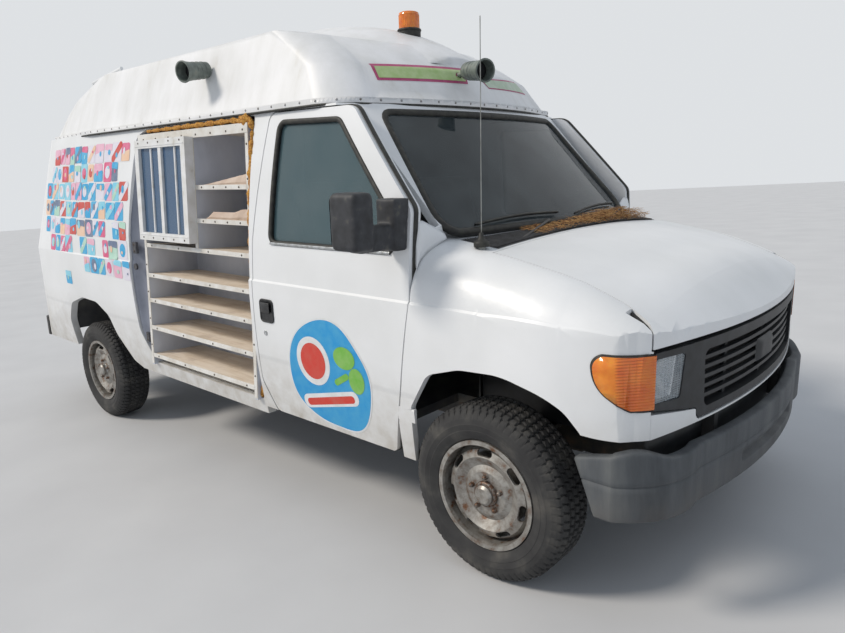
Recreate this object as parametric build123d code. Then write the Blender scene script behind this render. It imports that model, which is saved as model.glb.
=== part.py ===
from build123d import *
import os
from math import cos, sin, radians

os.makedirs("parts", exist_ok=True)

# Full-size high-roof vending van. Millimetres.
# World frame: +X forward, +Y left, +Z up, origin on the ground at the middle of the whole van.
# The body is drawn level, with x measured from the front axle, and is then tipped nose down by RAKE.

# Running gear
WHEELBASE = 3505
FRONT_HALF_TRACK = 881
REAR_HALF_TRACK = 850
TYRE_RADIUS = 354
TYRE_WIDTH = 222
RIM_RADIUS = 208
RIM_LIP_RADIUS = 221
RIM_HALF_WIDTH = 88
HUB_RADIUS = 62
HUB_REACH = 86
SPINDLE_RADIUS = 25.7
WHEEL_SLOTS = 7
KINGPIN_Y = 752
KINGPIN_RADIUS = 17
LEAF_Y = 500
LEAF_HALF_SPAN = 700
SEAT_GAP = 0.3

# Stance
RAKE = 2.29
RAKE_PIVOT_Z = 372

# Body side section
BODY_BOTTOM_Z = 360
DOOR_BOTTOM_Z = 402
BODY_HALF_WIDTH = 1005
BELLY_BULGE = 2
SILL_TUCK = 51
CREASE_Z = 1075
CREASE_STEP = 8
CREASE_RISE = 9
GUTTER_Z = 1882
GUTTER_HALF_WIDTH = 882
DOOR_THICKNESS = 58
WALL_THICKNESS = 46
FENDER_THICKNESS = 30
PANEL_GAP = 6
GLASS_THICKNESS = 5
GLASS_INSET = 14
BEYOND_SIDE = 1100

# Body ends
REAR_FACE_X = -4480
NOSE_X = 716
NOSE_CORNER_X = 600
NOSE_CORNER_Y = 856
NOSE_REAR_X = -430
FENDER_BEND_X = 240
REAR_FRAME_HALF_WIDTH = 760
REAR_HINGE_Y = 738
REAR_HINGE_TILT = 3.5
REAR_HINGE_OUT = 6
REAR_HINGE_Z = 1000

# Cab
DOOR_REAR_X = -1384
DOOR_FRONT_X = -338
FLOOR_Z = 556
FLOOR_THICKNESS = 40
WINDSCREEN_BASE_Z = 1330
WINDSCREEN_TOP_Z = 1880
PILLAR_INNER_Y = 806
COWL_HALF_WIDTH = 700
COWL_SHELF_Z = 1225
LINER_INNER_Y = 548
SEAT_Y = 470

# Roof cap
ROOF_SEAT_Z = GUTTER_Z + SEAT_GAP
ROOF_TOP_Z = 2335
ROOF_CROWN_RADIUS = 3600
ROOF_SHELL = 30
ROOF_BAND_OUT = 13
ROOF_BAND_HEIGHT = 24
HUMP_AXIS_Z = 1497

# Hood
HOOD_HALF_WIDTH = 800
HOOD_REAR_X = -66
HOOD_NOSE_Z = 1004
HOOD_THICKNESS = 24

# Front end
FACE_BOTTOM_Z = 698
GRILLE_HALF_WIDTH = 612
GRILLE_BOTTOM_Z = 711
GRILLE_TOP_Z = 992
GRILLE_HOLE_LOW_Z = 742
GRILLE_HOLE_HIGH_Z = 952
GRILLE_BARS = 5
LAMP_LOW_Z = 800
BUMPER_TOP_Z = 636
BUMPER_CORNER_TOP_Z = 672
BUMPER_BOTTOM_Z = 418
BUMPER_FACE_X = 765
BUMPER_HALF_WIDTH = 972
BUMPER_WALL = 44
BUMPER_REAR_X = 368

# Rear bumper
REAR_BUMPER_X = -4590
REAR_BUMPER_HALF_WIDTH = 925
REAR_BUMPER_TOP_Z = 488
REAR_BUMPER_HEIGHT = 150
REAR_BUMPER_SHEET = 8
TOW_HOLE_RADIUS = 12.7
TOW_HOLE_SETBACK = 55

# Chassis
RAIL_Y = 430
RAIL_HALF_WIDTH = 32
RAIL_TOP_Z = 516
RAIL_FRONT_X = 598
RAIL_REAR_X = -4424

# Cargo opening, its shelves and its serving window
STEP_Z = 442
STEP_SHEET = 12
OPENING_TOP_Z = 1868
SHELF_LEAN = 3.15
SHELF_FACE_Y = -985
SHELF_DEPTH = 330
SHELF_BOARD = 18
SHELF_POST = 22
SHELF_LOW_Z = 487
SHELF_HIGH_Z = 1838
SHELF_LEFT_X = -2575
SHELF_RIGHT_X = -1462
SHELF_MIDDLE_X = -1975
WINDOW_LEFT_X = -2535
WINDOW_LOW_Z = 1225
WINDOW_HIGH_Z = 1798
WINDOW_BORDER = 46
WINDOW_DEPTH = 54

# Mirror
MIRROR_OUT_Y = 1255


def side_rows(inset, half_width=BODY_HALF_WIDTH, crease_z=CREASE_Z):
    """Half-section of a body side from sill to above the crease, as (y, z) points."""
    return [
        (half_width - SILL_TUCK - inset, BODY_BOTTOM_Z),
        (half_width - 5 - inset, 740),
        (half_width - inset, crease_z),
        (half_width - CREASE_STEP - inset, crease_z + CREASE_RISE),
    ]


def side_section(inset):
    """Closed cross-section of the body between its two sides."""
    sill, belly, crease, step = side_rows(inset)
    shoulder = (BODY_HALF_WIDTH - 46 - inset, 1480)
    gutter = (GUTTER_HALF_WIDTH - inset, GUTTER_Z)
    edges = [Line((-gutter[0], gutter[1]), gutter), Line((-sill[0], sill[1]), sill)]
    for s in (1, -1):
        points = [(s * y, z) for y, z in (sill, belly, crease, step, shoulder, gutter)]
        edges.append(ThreePointArc(*points[0:3]))
        edges.append(Line(*points[2:4]))
        edges.append(ThreePointArc(*points[3:6]))
    return make_face(edges)


def rounded(rows):
    """Closed outline from rows of (across, up, corner radius)."""
    points = [(u, v) for u, v, r in rows]
    return make_face(FilletPolyline(*points, radius=[r for u, v, r in rows], close=True))


def xz_prism(rows, y0, y1):
    """Side-view outline, rows of (x, z, corner radius), carried from y0 to y1."""
    return extrude(Plane.XZ.offset(-y1) * rounded(rows), y1 - y0)


def yz_prism(rows, x0, x1):
    """Front-view outline, rows of (y, z, corner radius), carried from x0 to x1."""
    return extrude(Plane.YZ.offset(x0) * rounded(rows), x1 - x0)


def xy_prism(face, z0, z1):
    return extrude(Plane.XY.offset(z0) * face, z1 - z0)


def box(x0, x1, y0, y1, z0, z1):
    return Pos((x0 + x1) / 2, (y0 + y1) / 2, (z0 + z1) / 2) * Box(x1 - x0, y1 - y0, z1 - z0)


def side_box(side, x0, x1, near, far, z0, z1):
    """Box on one side of the van, between two distances from its middle plane."""
    y0, y1 = sorted((side * near, side * far))
    return box(x0, x1, y0, y1, z0, z1)


def rod(start, end, radius):
    """Round bar from one point to another."""
    a = Vector(*start)
    b = Vector(*end)
    return extrude(Plane(origin=a, z_dir=b - a) * Circle(radius), (b - a).length)


def nose_plan(inset):
    """Plan outline of the front of the body: a bowed face and rounded fenders."""
    w = BODY_HALF_WIDTH + 5 - inset
    cx = NOSE_CORNER_X - inset
    cy = NOSE_CORNER_Y - inset
    rear = NOSE_REAR_X - 20
    edges = [ThreePointArc((cx, -cy), (NOSE_X - inset, 0), (cx, cy)), Line((rear, -w), (rear, w))]
    for s in (1, -1):
        edges.append(ThreePointArc((FENDER_BEND_X, s * w), (475 - inset * 0.7, s * (w - 42)), (cx, s * cy)))
        edges.append(Line((rear, s * w), (FENDER_BEND_X, s * w)))
    return make_face(edges)


# Hood and fender sections: x, half width at the crease, crease z, hood seam z, hood centre z
NOSE_SECTIONS = [
    (NOSE_REAR_X, BODY_HALF_WIDTH, 1075, 1322, 1345),
    (0, BODY_HALF_WIDTH, 1071, 1261, 1297),
    (330, 998, 1066, 1187, 1238),
    (560, 930, 1046, 1090, 1168),
    (740, 800, 1012, 966, 1010),
]


def nose_section(x, half_width, crease_z, seam_z, centre_z, inset):
    """Cross-section of fenders and hood at one station."""
    top = seam_z - inset
    crease_z = min(crease_z, top - 20)
    sill, belly, crease, step = side_rows(inset, half_width, crease_z)
    seam_y = min(HOOD_HALF_WIDTH, half_width - 60)
    shoulder = (seam_y + 0.72 * (step[0] - seam_y), step[1] + 0.62 * (top - step[1]))
    edges = [ThreePointArc((-seam_y, top), (0, centre_z - inset), (seam_y, top))]
    edges.append(Line((-sill[0], sill[1]), sill))
    for s in (1, -1):
        points = [(s * y, z) for y, z in (sill, belly, crease, step, shoulder, (seam_y, top))]
        edges.append(ThreePointArc(*points[0:3]))
        edges.append(Line(*points[2:4]))
        edges.append(ThreePointArc(*points[3:6]))
    return Plane.YZ.offset(x) * make_face(edges)


nose_forms = {}


def nose_envelope(inset):
    """Outer form of fenders and hood: ruled between sections and rounded in plan."""
    if inset not in nose_forms:
        sections = [nose_section(*row, inset) for row in NOSE_SECTIONS]
        nose_forms[inset] = loft(sections, ruled=True) & xy_prism(nose_plan(inset), 300, 1400)
    return nose_forms[inset]


# Plan of the body's rear at three heights: z, half width at the wheels and at the rear, rear x, corner radius
REAR_PLANS = [
    (300, 1025, 968, REAR_FACE_X, 200),
    (CREASE_Z, 1025, 968, REAR_FACE_X, 200),
    (1890, 902, 818, -4370, 330),
]
TAPER_START_X = -3300
TAPER_RADIUS = 6000


def rear_envelope(inset):
    """Outer form of the body behind the cowl, tapered and rounded in plan at its rear."""
    depth = DOOR_FRONT_X + 8 - REAR_FACE_X + 20
    prism = extrude(Plane.YZ.offset(REAR_FACE_X - 20) * side_section(inset), depth)
    rings = []
    for z, wide, narrow, rear, radius in REAR_PLANS:
        half = [(-200, wide - inset, 1), (TAPER_START_X, wide - inset, TAPER_RADIUS)]
        half.append((rear + inset, narrow - inset, radius - inset))
        rings.append(Plane.XY.offset(z) * rounded(half + [(x, -y, r) for x, y, r in reversed(half)]))
    return prism & loft(rings, ruled=True)


# Windscreen face, an arc across at each height: z, x at the arc's ends, x at its middle
SCREEN_RINGS = [
    (WINDSCREEN_BASE_Z, -388, -198),
    (WINDSCREEN_TOP_Z, -930, -670),
]
SCREEN_OPENING = [
    (-PILLAR_INNER_Y, 1338, 70), (-700, 1846, 60), (700, 1846, 60), (PILLAR_INNER_Y, 1338, 70),
]


def screen_block(inset):
    """Everything behind the windscreen's face."""
    rings = []
    for z, end_x, middle_x in SCREEN_RINGS:
        end = end_x - inset
        arc = ThreePointArc((end, -BEYOND_SIDE), (middle_x - inset, 0), (end, BEYOND_SIDE))
        back = Polyline((end, BEYOND_SIDE), (-2000, BEYOND_SIDE), (-2000, -BEYOND_SIDE), (end, -BEYOND_SIDE))
        rings.append(Plane.XY.offset(z) * make_face([arc, back]))
    return loft(rings, ruled=True)


nodes = {}


def keep(name, shape, body_frame=True):
    nodes[name] = (shape, body_frame)


OUTER_NOSE = nose_envelope(0)
INNER_FENDER = nose_envelope(FENDER_THICKNESS)
OUTER = rear_envelope(0)
INNER_WALL = rear_envelope(WALL_THICKNESS)
SIDES = ((-1, "right"), (1, "left"))

# Outlines in side view: x, z, corner radius
DOOR_OUTLINE = [
    (-1309, DOOR_BOTTOM_Z, 40),
    (-1393, 560, 90),
    (DOOR_REAR_X, 1265, 300),
    (-1290, 1868, 50),
    (-719, 1862, 90),
    (-340, 1440, 60),
    (DOOR_FRONT_X, 1070, 60),
    (-403, 714, 300),
    (-469, DOOR_BOTTOM_Z, 30),
]
DOOR_WINDOW = [
    (-1246, 1268, 40),
    (-1217, 1822, 40),
    (-796, 1809, 60),
    (-424, 1389, 30),
    (-430, 1268, 30),
]
FRONT_ARCH = [
    (-366, 300, 1),
    (-352, 640, 60),
    (-250, 800, 90),
    (-90, 850, 200),
    (110, 862, 200),
    (330, 755, 150),
    (404, 694, 40),
    (404, 300, 1),
]
REAR_ARCH = [
    (-3848, 300, 1),
    (-3848, 566, 90),
    (-3745, 705, 120),
    (-3530, 766, 150),
    (-3300, 758, 150),
    (-3135, 680, 120),
    (-3070, 560, 150),
    (-2900, 395, 60),
    (-2729, 340, 20),
    (-2729, 300, 1),
]
CARGO_OPENING = [
    (-2570, STEP_Z, 40),
    (-2700, 640, 120),
    (-2712, 1245, 200),
    (-2640, 1829, 50),
    (-2534, OPENING_TOP_Z, 40),
    (DOOR_REAR_X - 34, OPENING_TOP_Z, 20),
    (DOOR_REAR_X - 34, STEP_Z, 20),
]


def grown(rows, gap):
    """The same outline pushed out from its middle by about the given gap."""
    middle_x = sum(x for x, z, r in rows) / len(rows)
    middle_z = sum(z for x, z, r in rows) / len(rows)
    return [(x + (gap if x > middle_x else -gap), z + (gap if z > middle_z else -gap), r) for x, z, r in rows]


def on_side(side):
    """The y range that holds one side of the van."""
    return (0.5, BEYOND_SIDE) if side > 0 else (-BEYOND_SIDE, -0.5)


# Cab doors, with their glass
DOOR_SHELL = OUTER - rear_envelope(DOOR_THICKNESS)
GLASS_SHELL = rear_envelope(GLASS_INSET) - rear_envelope(GLASS_INSET + GLASS_THICKNESS)
for side, name in SIDES:
    window = xz_prism(DOOR_WINDOW, *on_side(side))
    keep("front_door_" + name, (DOOR_SHELL & xz_prism(DOOR_OUTLINE, *on_side(side))) - window)
    keep("door_glass_" + name, GLASS_SHELL & window)

# Body sides behind the cab doors
BODY_SHELL = OUTER - INNER_WALL
REAR_ZONE = box(REAR_FACE_X - 10, -3900, -REAR_FRAME_HALF_WIDTH, REAR_FRAME_HALF_WIDTH, 300, 1900)
DOOR_ZONE = {}
for side, name in SIDES:
    y_range = sorted((side * PILLAR_INNER_Y, side * BEYOND_SIDE))
    DOOR_ZONE[side] = xz_prism(grown(DOOR_OUTLINE, PANEL_GAP), *y_range)
    panel = BODY_SHELL & box(REAR_FACE_X - 10, -1200, *on_side(side), 300, 1900)
    panel -= REAR_ZONE
    panel -= DOOR_ZONE[side]
    panel -= xz_prism(REAR_ARCH, *on_side(side))
    panel -= box(-1410, -1100, *on_side(side), 300, DOOR_BOTTOM_Z)
    if side < 0:
        panel -= xz_prism(CARGO_OPENING, *on_side(side))
    keep("body_side_" + name, panel)

# Windscreen and its frame
screen_frame = (OUTER & screen_block(0)) - (INNER_WALL & screen_block(50))
screen_frame &= box(-1199, -150, -BEYOND_SIDE, BEYOND_SIDE, WINDSCREEN_BASE_Z + 0.5, WINDSCREEN_TOP_Z - 1)
for side, name in SIDES:
    screen_frame -= DOOR_ZONE[side]
screen_hole = yz_prism(SCREEN_OPENING, -1190, 0)
keep("windscreen_frame", screen_frame - screen_hole)
keep("windscreen", (screen_block(12) - screen_block(12 + GLASS_THICKNESS)) & screen_hole)

# Hood: half of its plan outline as x, y
HOOD_HALF_PLAN = [
    (HOOD_REAR_X, HOOD_HALF_WIDTH), (480, HOOD_HALF_WIDTH), (570, 838), (640, 900), (820, 900),
]
hood_points = HOOD_HALF_PLAN + [(x, -y) for x, y in reversed(HOOD_HALF_PLAN)]
hood_face = make_face(Polyline(*hood_points, close=True))
HOOD_CUT = xy_prism(offset(hood_face, PANEL_GAP), HOOD_NOSE_Z - PANEL_GAP, 1400)
keep("hood", (OUTER_NOSE - nose_envelope(HOOD_THICKNESS)) & xy_prism(hood_face, HOOD_NOSE_Z, 1400))

# Fenders, each fused with its wheel liner and the pads that the door hinges stand on
LINER = [(-452, 300, 1), (-452, 770, 60), (-330, 905, 80), (330, 905, 80), (486, 770, 60), (486, 300, 1)]
LINER_INSIDE = [(-444, 290, 1), (-444, 768, 56), (-326, 897, 76), (326, 897, 76), (478, 768, 56), (478, 290, 1)]
LINER_BOTTOM_Z = 560
FENDER_BOTTOM_Z = 390
HINGE_HEIGHTS = (600, 980)
for side, name in SIDES:
    fender = (OUTER_NOSE - INNER_FENDER) & box(NOSE_REAR_X, 800, *on_side(side), 300, 1400)
    fender -= HOOD_CUT
    fender -= box(500, 800, -NOSE_CORNER_Y - 4, NOSE_CORNER_Y + 4, 300, 1400)
    fender -= box(NOSE_REAR_X, 800, -700, 700, 300, 1400)
    fender -= box(NOSE_REAR_X, HOOD_REAR_X, -HOOD_HALF_WIDTH, HOOD_HALF_WIDTH, 1200, 1400)
    fender -= DOOR_ZONE[side]
    fender -= box(300, 800, -BEYOND_SIDE, BEYOND_SIDE, 300, FACE_BOTTOM_Z)
    fender -= box(NOSE_REAR_X, -300, -BEYOND_SIDE, BEYOND_SIDE, 300, FENDER_BOTTOM_Z)
    fender -= xz_prism(FRONT_ARCH, *on_side(side))
    liner_range = sorted((side * LINER_INNER_Y, side * 978))
    liner = xz_prism(LINER, *liner_range) - xz_prism(LINER_INSIDE, *liner_range)
    liner -= DOOR_ZONE[side]
    liner -= box(-500, 500, -BEYOND_SIDE, BEYOND_SIDE, 290, LINER_BOTTOM_Z)
    liner -= box(340, 500, -BEYOND_SIDE, BEYOND_SIDE, 290, FACE_BOTTOM_Z)
    liner -= side_box(side, 400, 500, 920, BEYOND_SIDE, 700, 1000)
    y_range = sorted((side * 900, side * BEYOND_SIDE))
    near_door = xz_prism(grown(DOOR_OUTLINE, SEAT_GAP), *y_range)
    fender += liner & OUTER_NOSE
    for z in HINGE_HEIGHTS:
        pad = side_box(side, -450, -336, 974, 990, z - 30, z + 30) - near_door
        fender += pad & OUTER_NOSE
    keep("fender_" + name, fender)

# Cowl, firewall and the posts that the hood rests on
COWL_EDGE_X = HOOD_REAR_X - PANEL_GAP
cowl = OUTER_NOSE - nose_envelope(10)
cowl &= box(-420, COWL_EDGE_X, -HOOD_HALF_WIDTH, HOOD_HALF_WIDTH, 1200, 1400)
cowl -= screen_block(-4)
firewall = box(-340, -330, -COWL_HALF_WIDTH, COWL_HALF_WIDTH, 906, 1270)
firewall += box(-340, -330, -LINER_INNER_Y + 4, LINER_INNER_Y - 4, FLOOR_Z - FLOOR_THICKNESS, 906)
firewall -= box(-400, -300, -240, 240, 400, 960)
cowl += firewall
cowl += box(-340, COWL_EDGE_X - 30, -COWL_HALF_WIDTH, COWL_HALF_WIDTH, COWL_SHELF_Z, COWL_SHELF_Z + 10)
tray = box(COWL_EDGE_X - 38, COWL_EDGE_X - 30, -COWL_HALF_WIDTH, COWL_HALF_WIDTH, COWL_SHELF_Z, 1400)
cowl += tray & nose_envelope(9)
for y in (-600, 600):
    cowl += box(-110, -40, y - 15, y + 15, COWL_SHELF_Z, 1300) & nose_envelope(HOOD_THICKNESS + SEAT_GAP)
keep("cowl", cowl)

# Body-colour band round the lamps, carried by two posts on the chassis rails
FACE_TOP_Z = HOOD_NOSE_Z - PANEL_GAP
POST_TOP_Z = FACE_BOTTOM_Z + 7
face_wall = OUTER_NOSE - INNER_FENDER
face_wall &= box(505, 800, -NOSE_CORNER_Y - 4, NOSE_CORNER_Y + 4, FACE_BOTTOM_Z, FACE_TOP_Z)


def lamp_band(gap, top_z, reach):
    """Front-view outline of the lamps and grille together, as rows of (y, z, corner radius)."""
    half = [
        (reach, top_z, 1 if gap else 8),
        (reach, LAMP_LOW_Z - 4 - gap, 8),
        (GRILLE_HALF_WIDTH + gap, 752 - gap / 2, 8),
        (GRILLE_HALF_WIDTH - 4 + gap, GRILLE_BOTTOM_Z - gap, 30),
    ]
    return half + [(-y, z, r) for y, z, r in reversed(half)]


valance = face_wall - yz_prism(lamp_band(PANEL_GAP, 1010, 900), 400, 900)
for y in (-RAIL_Y, RAIL_Y):
    valance += box(550, 668, y - 20, y + 20, RAIL_TOP_Z, POST_TOP_Z)
keep("front_valance", valance)

# Grille: black bezel round a barred centre, with a flange behind that meets the body
bezel = (nose_envelope(2) - nose_envelope(36)) & yz_prism(lamp_band(0, GRILLE_TOP_Z - 2, 850), 400, 900)
flange = nose_envelope(FENDER_THICKNESS + SEAT_GAP) - nose_envelope(42)
bezel += flange & box(500, 800, -848, 848, POST_TOP_Z + 1, GRILLE_TOP_Z)
bezel -= yz_prism([(-562, GRILLE_HOLE_LOW_Z, 30), (-575, GRILLE_HOLE_HIGH_Z, 30),
                   (575, GRILLE_HOLE_HIGH_Z, 30), (562, GRILLE_HOLE_LOW_Z, 30)], 400, 900)
bar_shell = nose_envelope(14) - nose_envelope(30)
bar_pitch = (GRILLE_HOLE_HIGH_Z - GRILLE_HOLE_LOW_Z) / (GRILLE_BARS + 1)
for i in range(GRILLE_BARS):
    z = GRILLE_HOLE_LOW_Z + bar_pitch * (i + 1)
    bezel += bar_shell & box(500, 800, -578, 578, z - 7, z + 7)
stay_shell = nose_envelope(30) - nose_envelope(42)
for y in (-360, 0, 360):
    bezel += stay_shell & box(500, 800, y - 10, y + 10, GRILLE_HOLE_LOW_Z - 8, GRILLE_HOLE_HIGH_Z + 8)
lamp_holes = None
for s in (1, -1):
    rows = [(s * 712, 812, 14), (s * 690, 966, 14), (s * 844, 970, 10), (s * 844, 818, 10)]
    hole = yz_prism(rows, 400, 900)
    lamp_holes = hole if lamp_holes is None else lamp_holes + hole
keep("grille", bezel - lamp_holes)
keep("headlamps", (nose_envelope(6) - nose_envelope(32)) & lamp_holes)

# Amber corner lamps, which wrap from the front face round to the side, each with a backing plate
CORNER_LAMP_OUTLINE = [(438, 985, 40), (452, 880, 120), (560, 800, 60), (760, 800, 10), (760, 990, 10)]
lens_shell = nose_envelope(-3) - nose_envelope(44)
back_shell = nose_envelope(FENDER_THICKNESS + SEAT_GAP) - nose_envelope(44)
corner_lamps = None
for side, name in SIDES:
    lens = lens_shell & side_box(side, 400, 800, 853, BEYOND_SIDE, 806, 985)
    lens &= xz_prism(CORNER_LAMP_OUTLINE, *on_side(side))
    lens += back_shell & side_box(side, 414, 700, 858, BEYOND_SIDE, 792, 996)
    corner_lamps = lens if corner_lamps is None else corner_lamps + lens
    shape = nodes["fender_" + name][0]
    keep("fender_" + name, shape - xz_prism(grown(CORNER_LAMP_OUTLINE, 4), *on_side(side)))
keep("corner_lamps", corner_lamps)


# Front bumper
def bumper_plan(inset):
    """Plan outline of the front bumper: a bowed face, rounded corners and straight arms."""
    w = BUMPER_HALF_WIDTH - inset
    f = BUMPER_FACE_X - inset
    edges = [ThreePointArc((f - 74, 330 - w), (f, 0), (f - 74, w - 330))]
    for s in (1, -1):
        edges.append(ThreePointArc((f - 74, s * (w - 330)), (f - 130, s * (w - 100)), (f - 245, s * w)))
        edges.append(Line((f - 245, s * w), (BUMPER_REAR_X, s * w)))
    edges.append(Line((BUMPER_REAR_X, -w), (BUMPER_REAR_X, w)))
    return make_face(edges)


ARM_END = [(300, 660, 1), (378, 660, 1), (378, 630, 1), (470, 400, 1), (300, 400, 1)]
ARM_TOP = [(300, 700, 1), (300, 592, 1), (376, 612, 1), (575, BUMPER_CORNER_TOP_Z, 1), (575, 700, 1)]
MIDDLE_TOP = [(-935, 690, 1), (-830, BUMPER_TOP_Z, 30), (830, BUMPER_TOP_Z, 30), (935, 690, 1)]
bumper = xy_prism(bumper_plan(0), BUMPER_BOTTOM_Z, BUMPER_CORNER_TOP_Z)
bumper -= xy_prism(bumper_plan(BUMPER_WALL), 300, 700)
bumper -= xz_prism(ARM_END, -BEYOND_SIDE, BEYOND_SIDE)
bumper -= xz_prism(ARM_TOP, -BEYOND_SIDE, BEYOND_SIDE)
bumper -= yz_prism(MIDDLE_TOP, 500, 900)
bumper -= yz_prism([(-330, 478, 12), (-330, 520, 12), (330, 520, 12), (330, 478, 12)], 600, 900)
for y in (-RAIL_Y, RAIL_Y):
    bumper += box(RAIL_FRONT_X, BUMPER_FACE_X - BUMPER_WALL + 2, y - 30, y + 30, 440, 510)
keep("front_bumper", bumper)

# Rear bumper: a step plate with rounded ends, on two brackets
plate_low = REAR_BUMPER_TOP_Z - REAR_BUMPER_HEIGHT
plate_front = REAR_FACE_X - 12
rear_bumper = box(REAR_BUMPER_X, plate_front, -REAR_BUMPER_HALF_WIDTH, REAR_BUMPER_HALF_WIDTH, plate_low,
                  REAR_BUMPER_TOP_Z)
rear_bumper = fillet(rear_bumper.edges().filter_by(Axis.Z).group_by(Axis.X)[0], 70)
rear_bumper -= box(REAR_BUMPER_X + REAR_BUMPER_SHEET, plate_front + 10, -880, 880, plate_low - 5,
                   REAR_BUMPER_TOP_Z - REAR_BUMPER_SHEET)
hole_x = REAR_BUMPER_X + TOW_HOLE_SETBACK
rear_bumper += box(REAR_BUMPER_X + REAR_BUMPER_SHEET, hole_x + 43, -60, 60, REAR_BUMPER_TOP_Z - 20,
                   REAR_BUMPER_TOP_Z - REAR_BUMPER_SHEET)
rear_bumper -= Pos(hole_x, 0, REAR_BUMPER_TOP_Z) * Cylinder(TOW_HOLE_RADIUS, 80)
brackets = box(REAR_BUMPER_X + REAR_BUMPER_SHEET, RAIL_REAR_X - 1, -RAIL_Y - 30, -RAIL_Y + 30, 400, 474)
brackets += box(REAR_BUMPER_X + REAR_BUMPER_SHEET, RAIL_REAR_X - 1, RAIL_Y - 30, RAIL_Y + 30, 400, 474)
keep("rear_bumper", rear_bumper + brackets)

# Chassis: two box rails with cross members
CROSS_MEMBERS = (520, 0, -760, -1700, -2500, -3100, -3950, -4380)
RAIL_OUTLINE = [
    (RAIL_FRONT_X, 440, 1), (RAIL_FRONT_X, RAIL_TOP_Z, 1), (RAIL_REAR_X, RAIL_TOP_Z, 1),
    (RAIL_REAR_X, 440, 1), (-3800, 440, 1), (-3100, 400, 1), (300, 400, 1),
]
chassis = xz_prism(RAIL_OUTLINE, RAIL_Y - RAIL_HALF_WIDTH, RAIL_Y + RAIL_HALF_WIDTH)
chassis += xz_prism(RAIL_OUTLINE, -RAIL_Y - RAIL_HALF_WIDTH, -RAIL_Y + RAIL_HALF_WIDTH)
for x in CROSS_MEMBERS:
    chassis += box(x - 42, x + 42, -RAIL_Y, RAIL_Y, 446, 508)
keep("chassis_frame", chassis)
keep("engine_block", box(-560, 200, -215, 215, 508, 940))
keep("engine_cover", box(-900, -340, -262, 262, FLOOR_Z, 985) - box(-880, -300, -242, 242, 400, 965))
keep("fuel_tank", box(-2470, -1730, 70, 390, 230, 446))

# Floor with its rear wheel housings and the step in the cargo opening
STEP_INNER_Y = -600
INSIDE = INNER_WALL
floor = box(REAR_FACE_X + WALL_THICKNESS, DOOR_REAR_X - 20, -960, 960, FLOOR_Z - FLOOR_THICKNESS, FLOOR_Z)
floor &= INSIDE
floor += box(DOOR_REAR_X - 20, -340, -880, 880, FLOOR_Z - FLOOR_THICKNESS, FLOOR_Z)
for side, name in SIDES:
    floor -= side_box(side, -460, -300, LINER_INNER_Y, 900, 400, 700)
floor -= box(-640, -300, -240, 240, 400, 700)
floor -= box(-2720, DOOR_REAR_X - 30, -1000, STEP_INNER_Y - STEP_SHEET + 2, 400, 700)
floor += box(-2720, DOOR_REAR_X - 36, -946, STEP_INNER_Y, STEP_Z - STEP_SHEET, STEP_Z) & INSIDE
floor += box(-2720, DOOR_REAR_X - 36, STEP_INNER_Y - STEP_SHEET, STEP_INNER_Y, STEP_Z - STEP_SHEET, FLOOR_Z)
HOUSING = [
    (-3870, 480, 1), (-3870, 620, 90), (-3700, 800, 150), (-3300, 800, 150), (-3060, 620, 90), (-3060, 480, 1),
]
HOUSING_INSIDE = [
    (-3862, 470, 1), (-3862, 618, 86), (-3696, 792, 146), (-3304, 792, 146), (-3068, 618, 86), (-3068, 470, 1),
]
for side, name in SIDES:
    hollow = xz_prism(HOUSING_INSIDE, *sorted((side * 700, side * 962)))
    floor -= hollow
    floor += (xz_prism(HOUSING, *sorted((side * 692, side * 962))) - hollow) & INSIDE
keep("floor", floor)

# Rear end: frame and two doors with glass. Half outlines as y, z, corner radius
REAR_DOOR = [(0.5, 502, 1), (0.5, 1802, 1), (700, 1775, 90), (735, 1100, 400), (735, 502, 40)]
REAR_OPENING_HALF = [(0, 1810, 1), (707, 1782, 96), (742, 1100, 400), (742, 494, 46)]
REAR_WINDOW = [(80, 1240, 50), (80, 1720, 50), (630, 1700, 60), (650, 1240, 50)]
opening = REAR_OPENING_HALF + [(-y, z, r) for y, z, r in reversed(REAR_OPENING_HALF[1:])]
keep("rear_frame", (BODY_SHELL & REAR_ZONE) - yz_prism(opening, -4600, -3900))
rear_glass_shell = rear_envelope(GLASS_INSET) - rear_envelope(GLASS_INSET + GLASS_THICKNESS)
for side, name in SIDES:
    door = BODY_SHELL & yz_prism([(side * y, z, r) for y, z, r in REAR_DOOR], -4600, -3900)
    window = yz_prism([(side * y, z, r) for y, z, r in REAR_WINDOW], -4600, -3900)
    swing_x = REAR_FACE_X - REAR_HINGE_OUT
    swing = Pos(swing_x, side * REAR_HINGE_Y, REAR_HINGE_Z) * Rot(0, REAR_HINGE_TILT, 0)
    swing = swing * Cylinder(REAR_HINGE_Y - 2.5, 3000)
    keep("rear_door_" + name, (door - window) & swing)
    keep("rear_glass_" + name, rear_glass_shell & window)

# Tail lamps let into the rear corners
tail_shell = rear_envelope(-4) - rear_envelope(WALL_THICKNESS - 16)
tail_lamps = None
for side, name in SIDES:
    zone = side_box(side, REAR_FACE_X - 10, REAR_FACE_X + 96, 806, 945, 740, 1060)
    tail_lamps = (tail_shell & zone) if tail_lamps is None else tail_lamps + (tail_shell & zone)
    shape = nodes["body_side_" + name][0]
    recess = side_box(side, REAR_FACE_X - 20, REAR_FACE_X + 98, 804, 947, 738, 1062)
    keep("body_side_" + name, shape - (recess & tail_shell))
keep("tail_lamps", tail_lamps)

# Roof cap rings: z, half width, half width at the rear, rear x, front corner x, front bulge
ROOF_RINGS = [
    (ROOF_SEAT_Z, 886, 802, -4370, -790, 122),
    (2060, 822, 744, -4240, -908, 128),
    (2150, 789, 716, -4130, -1040, 140),
    (2420, 690, 640, -3420, -1500, 150),
]
ROOF_FRONT_RADIUS = 190
ROOF_REAR_RADIUS = 330


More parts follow.
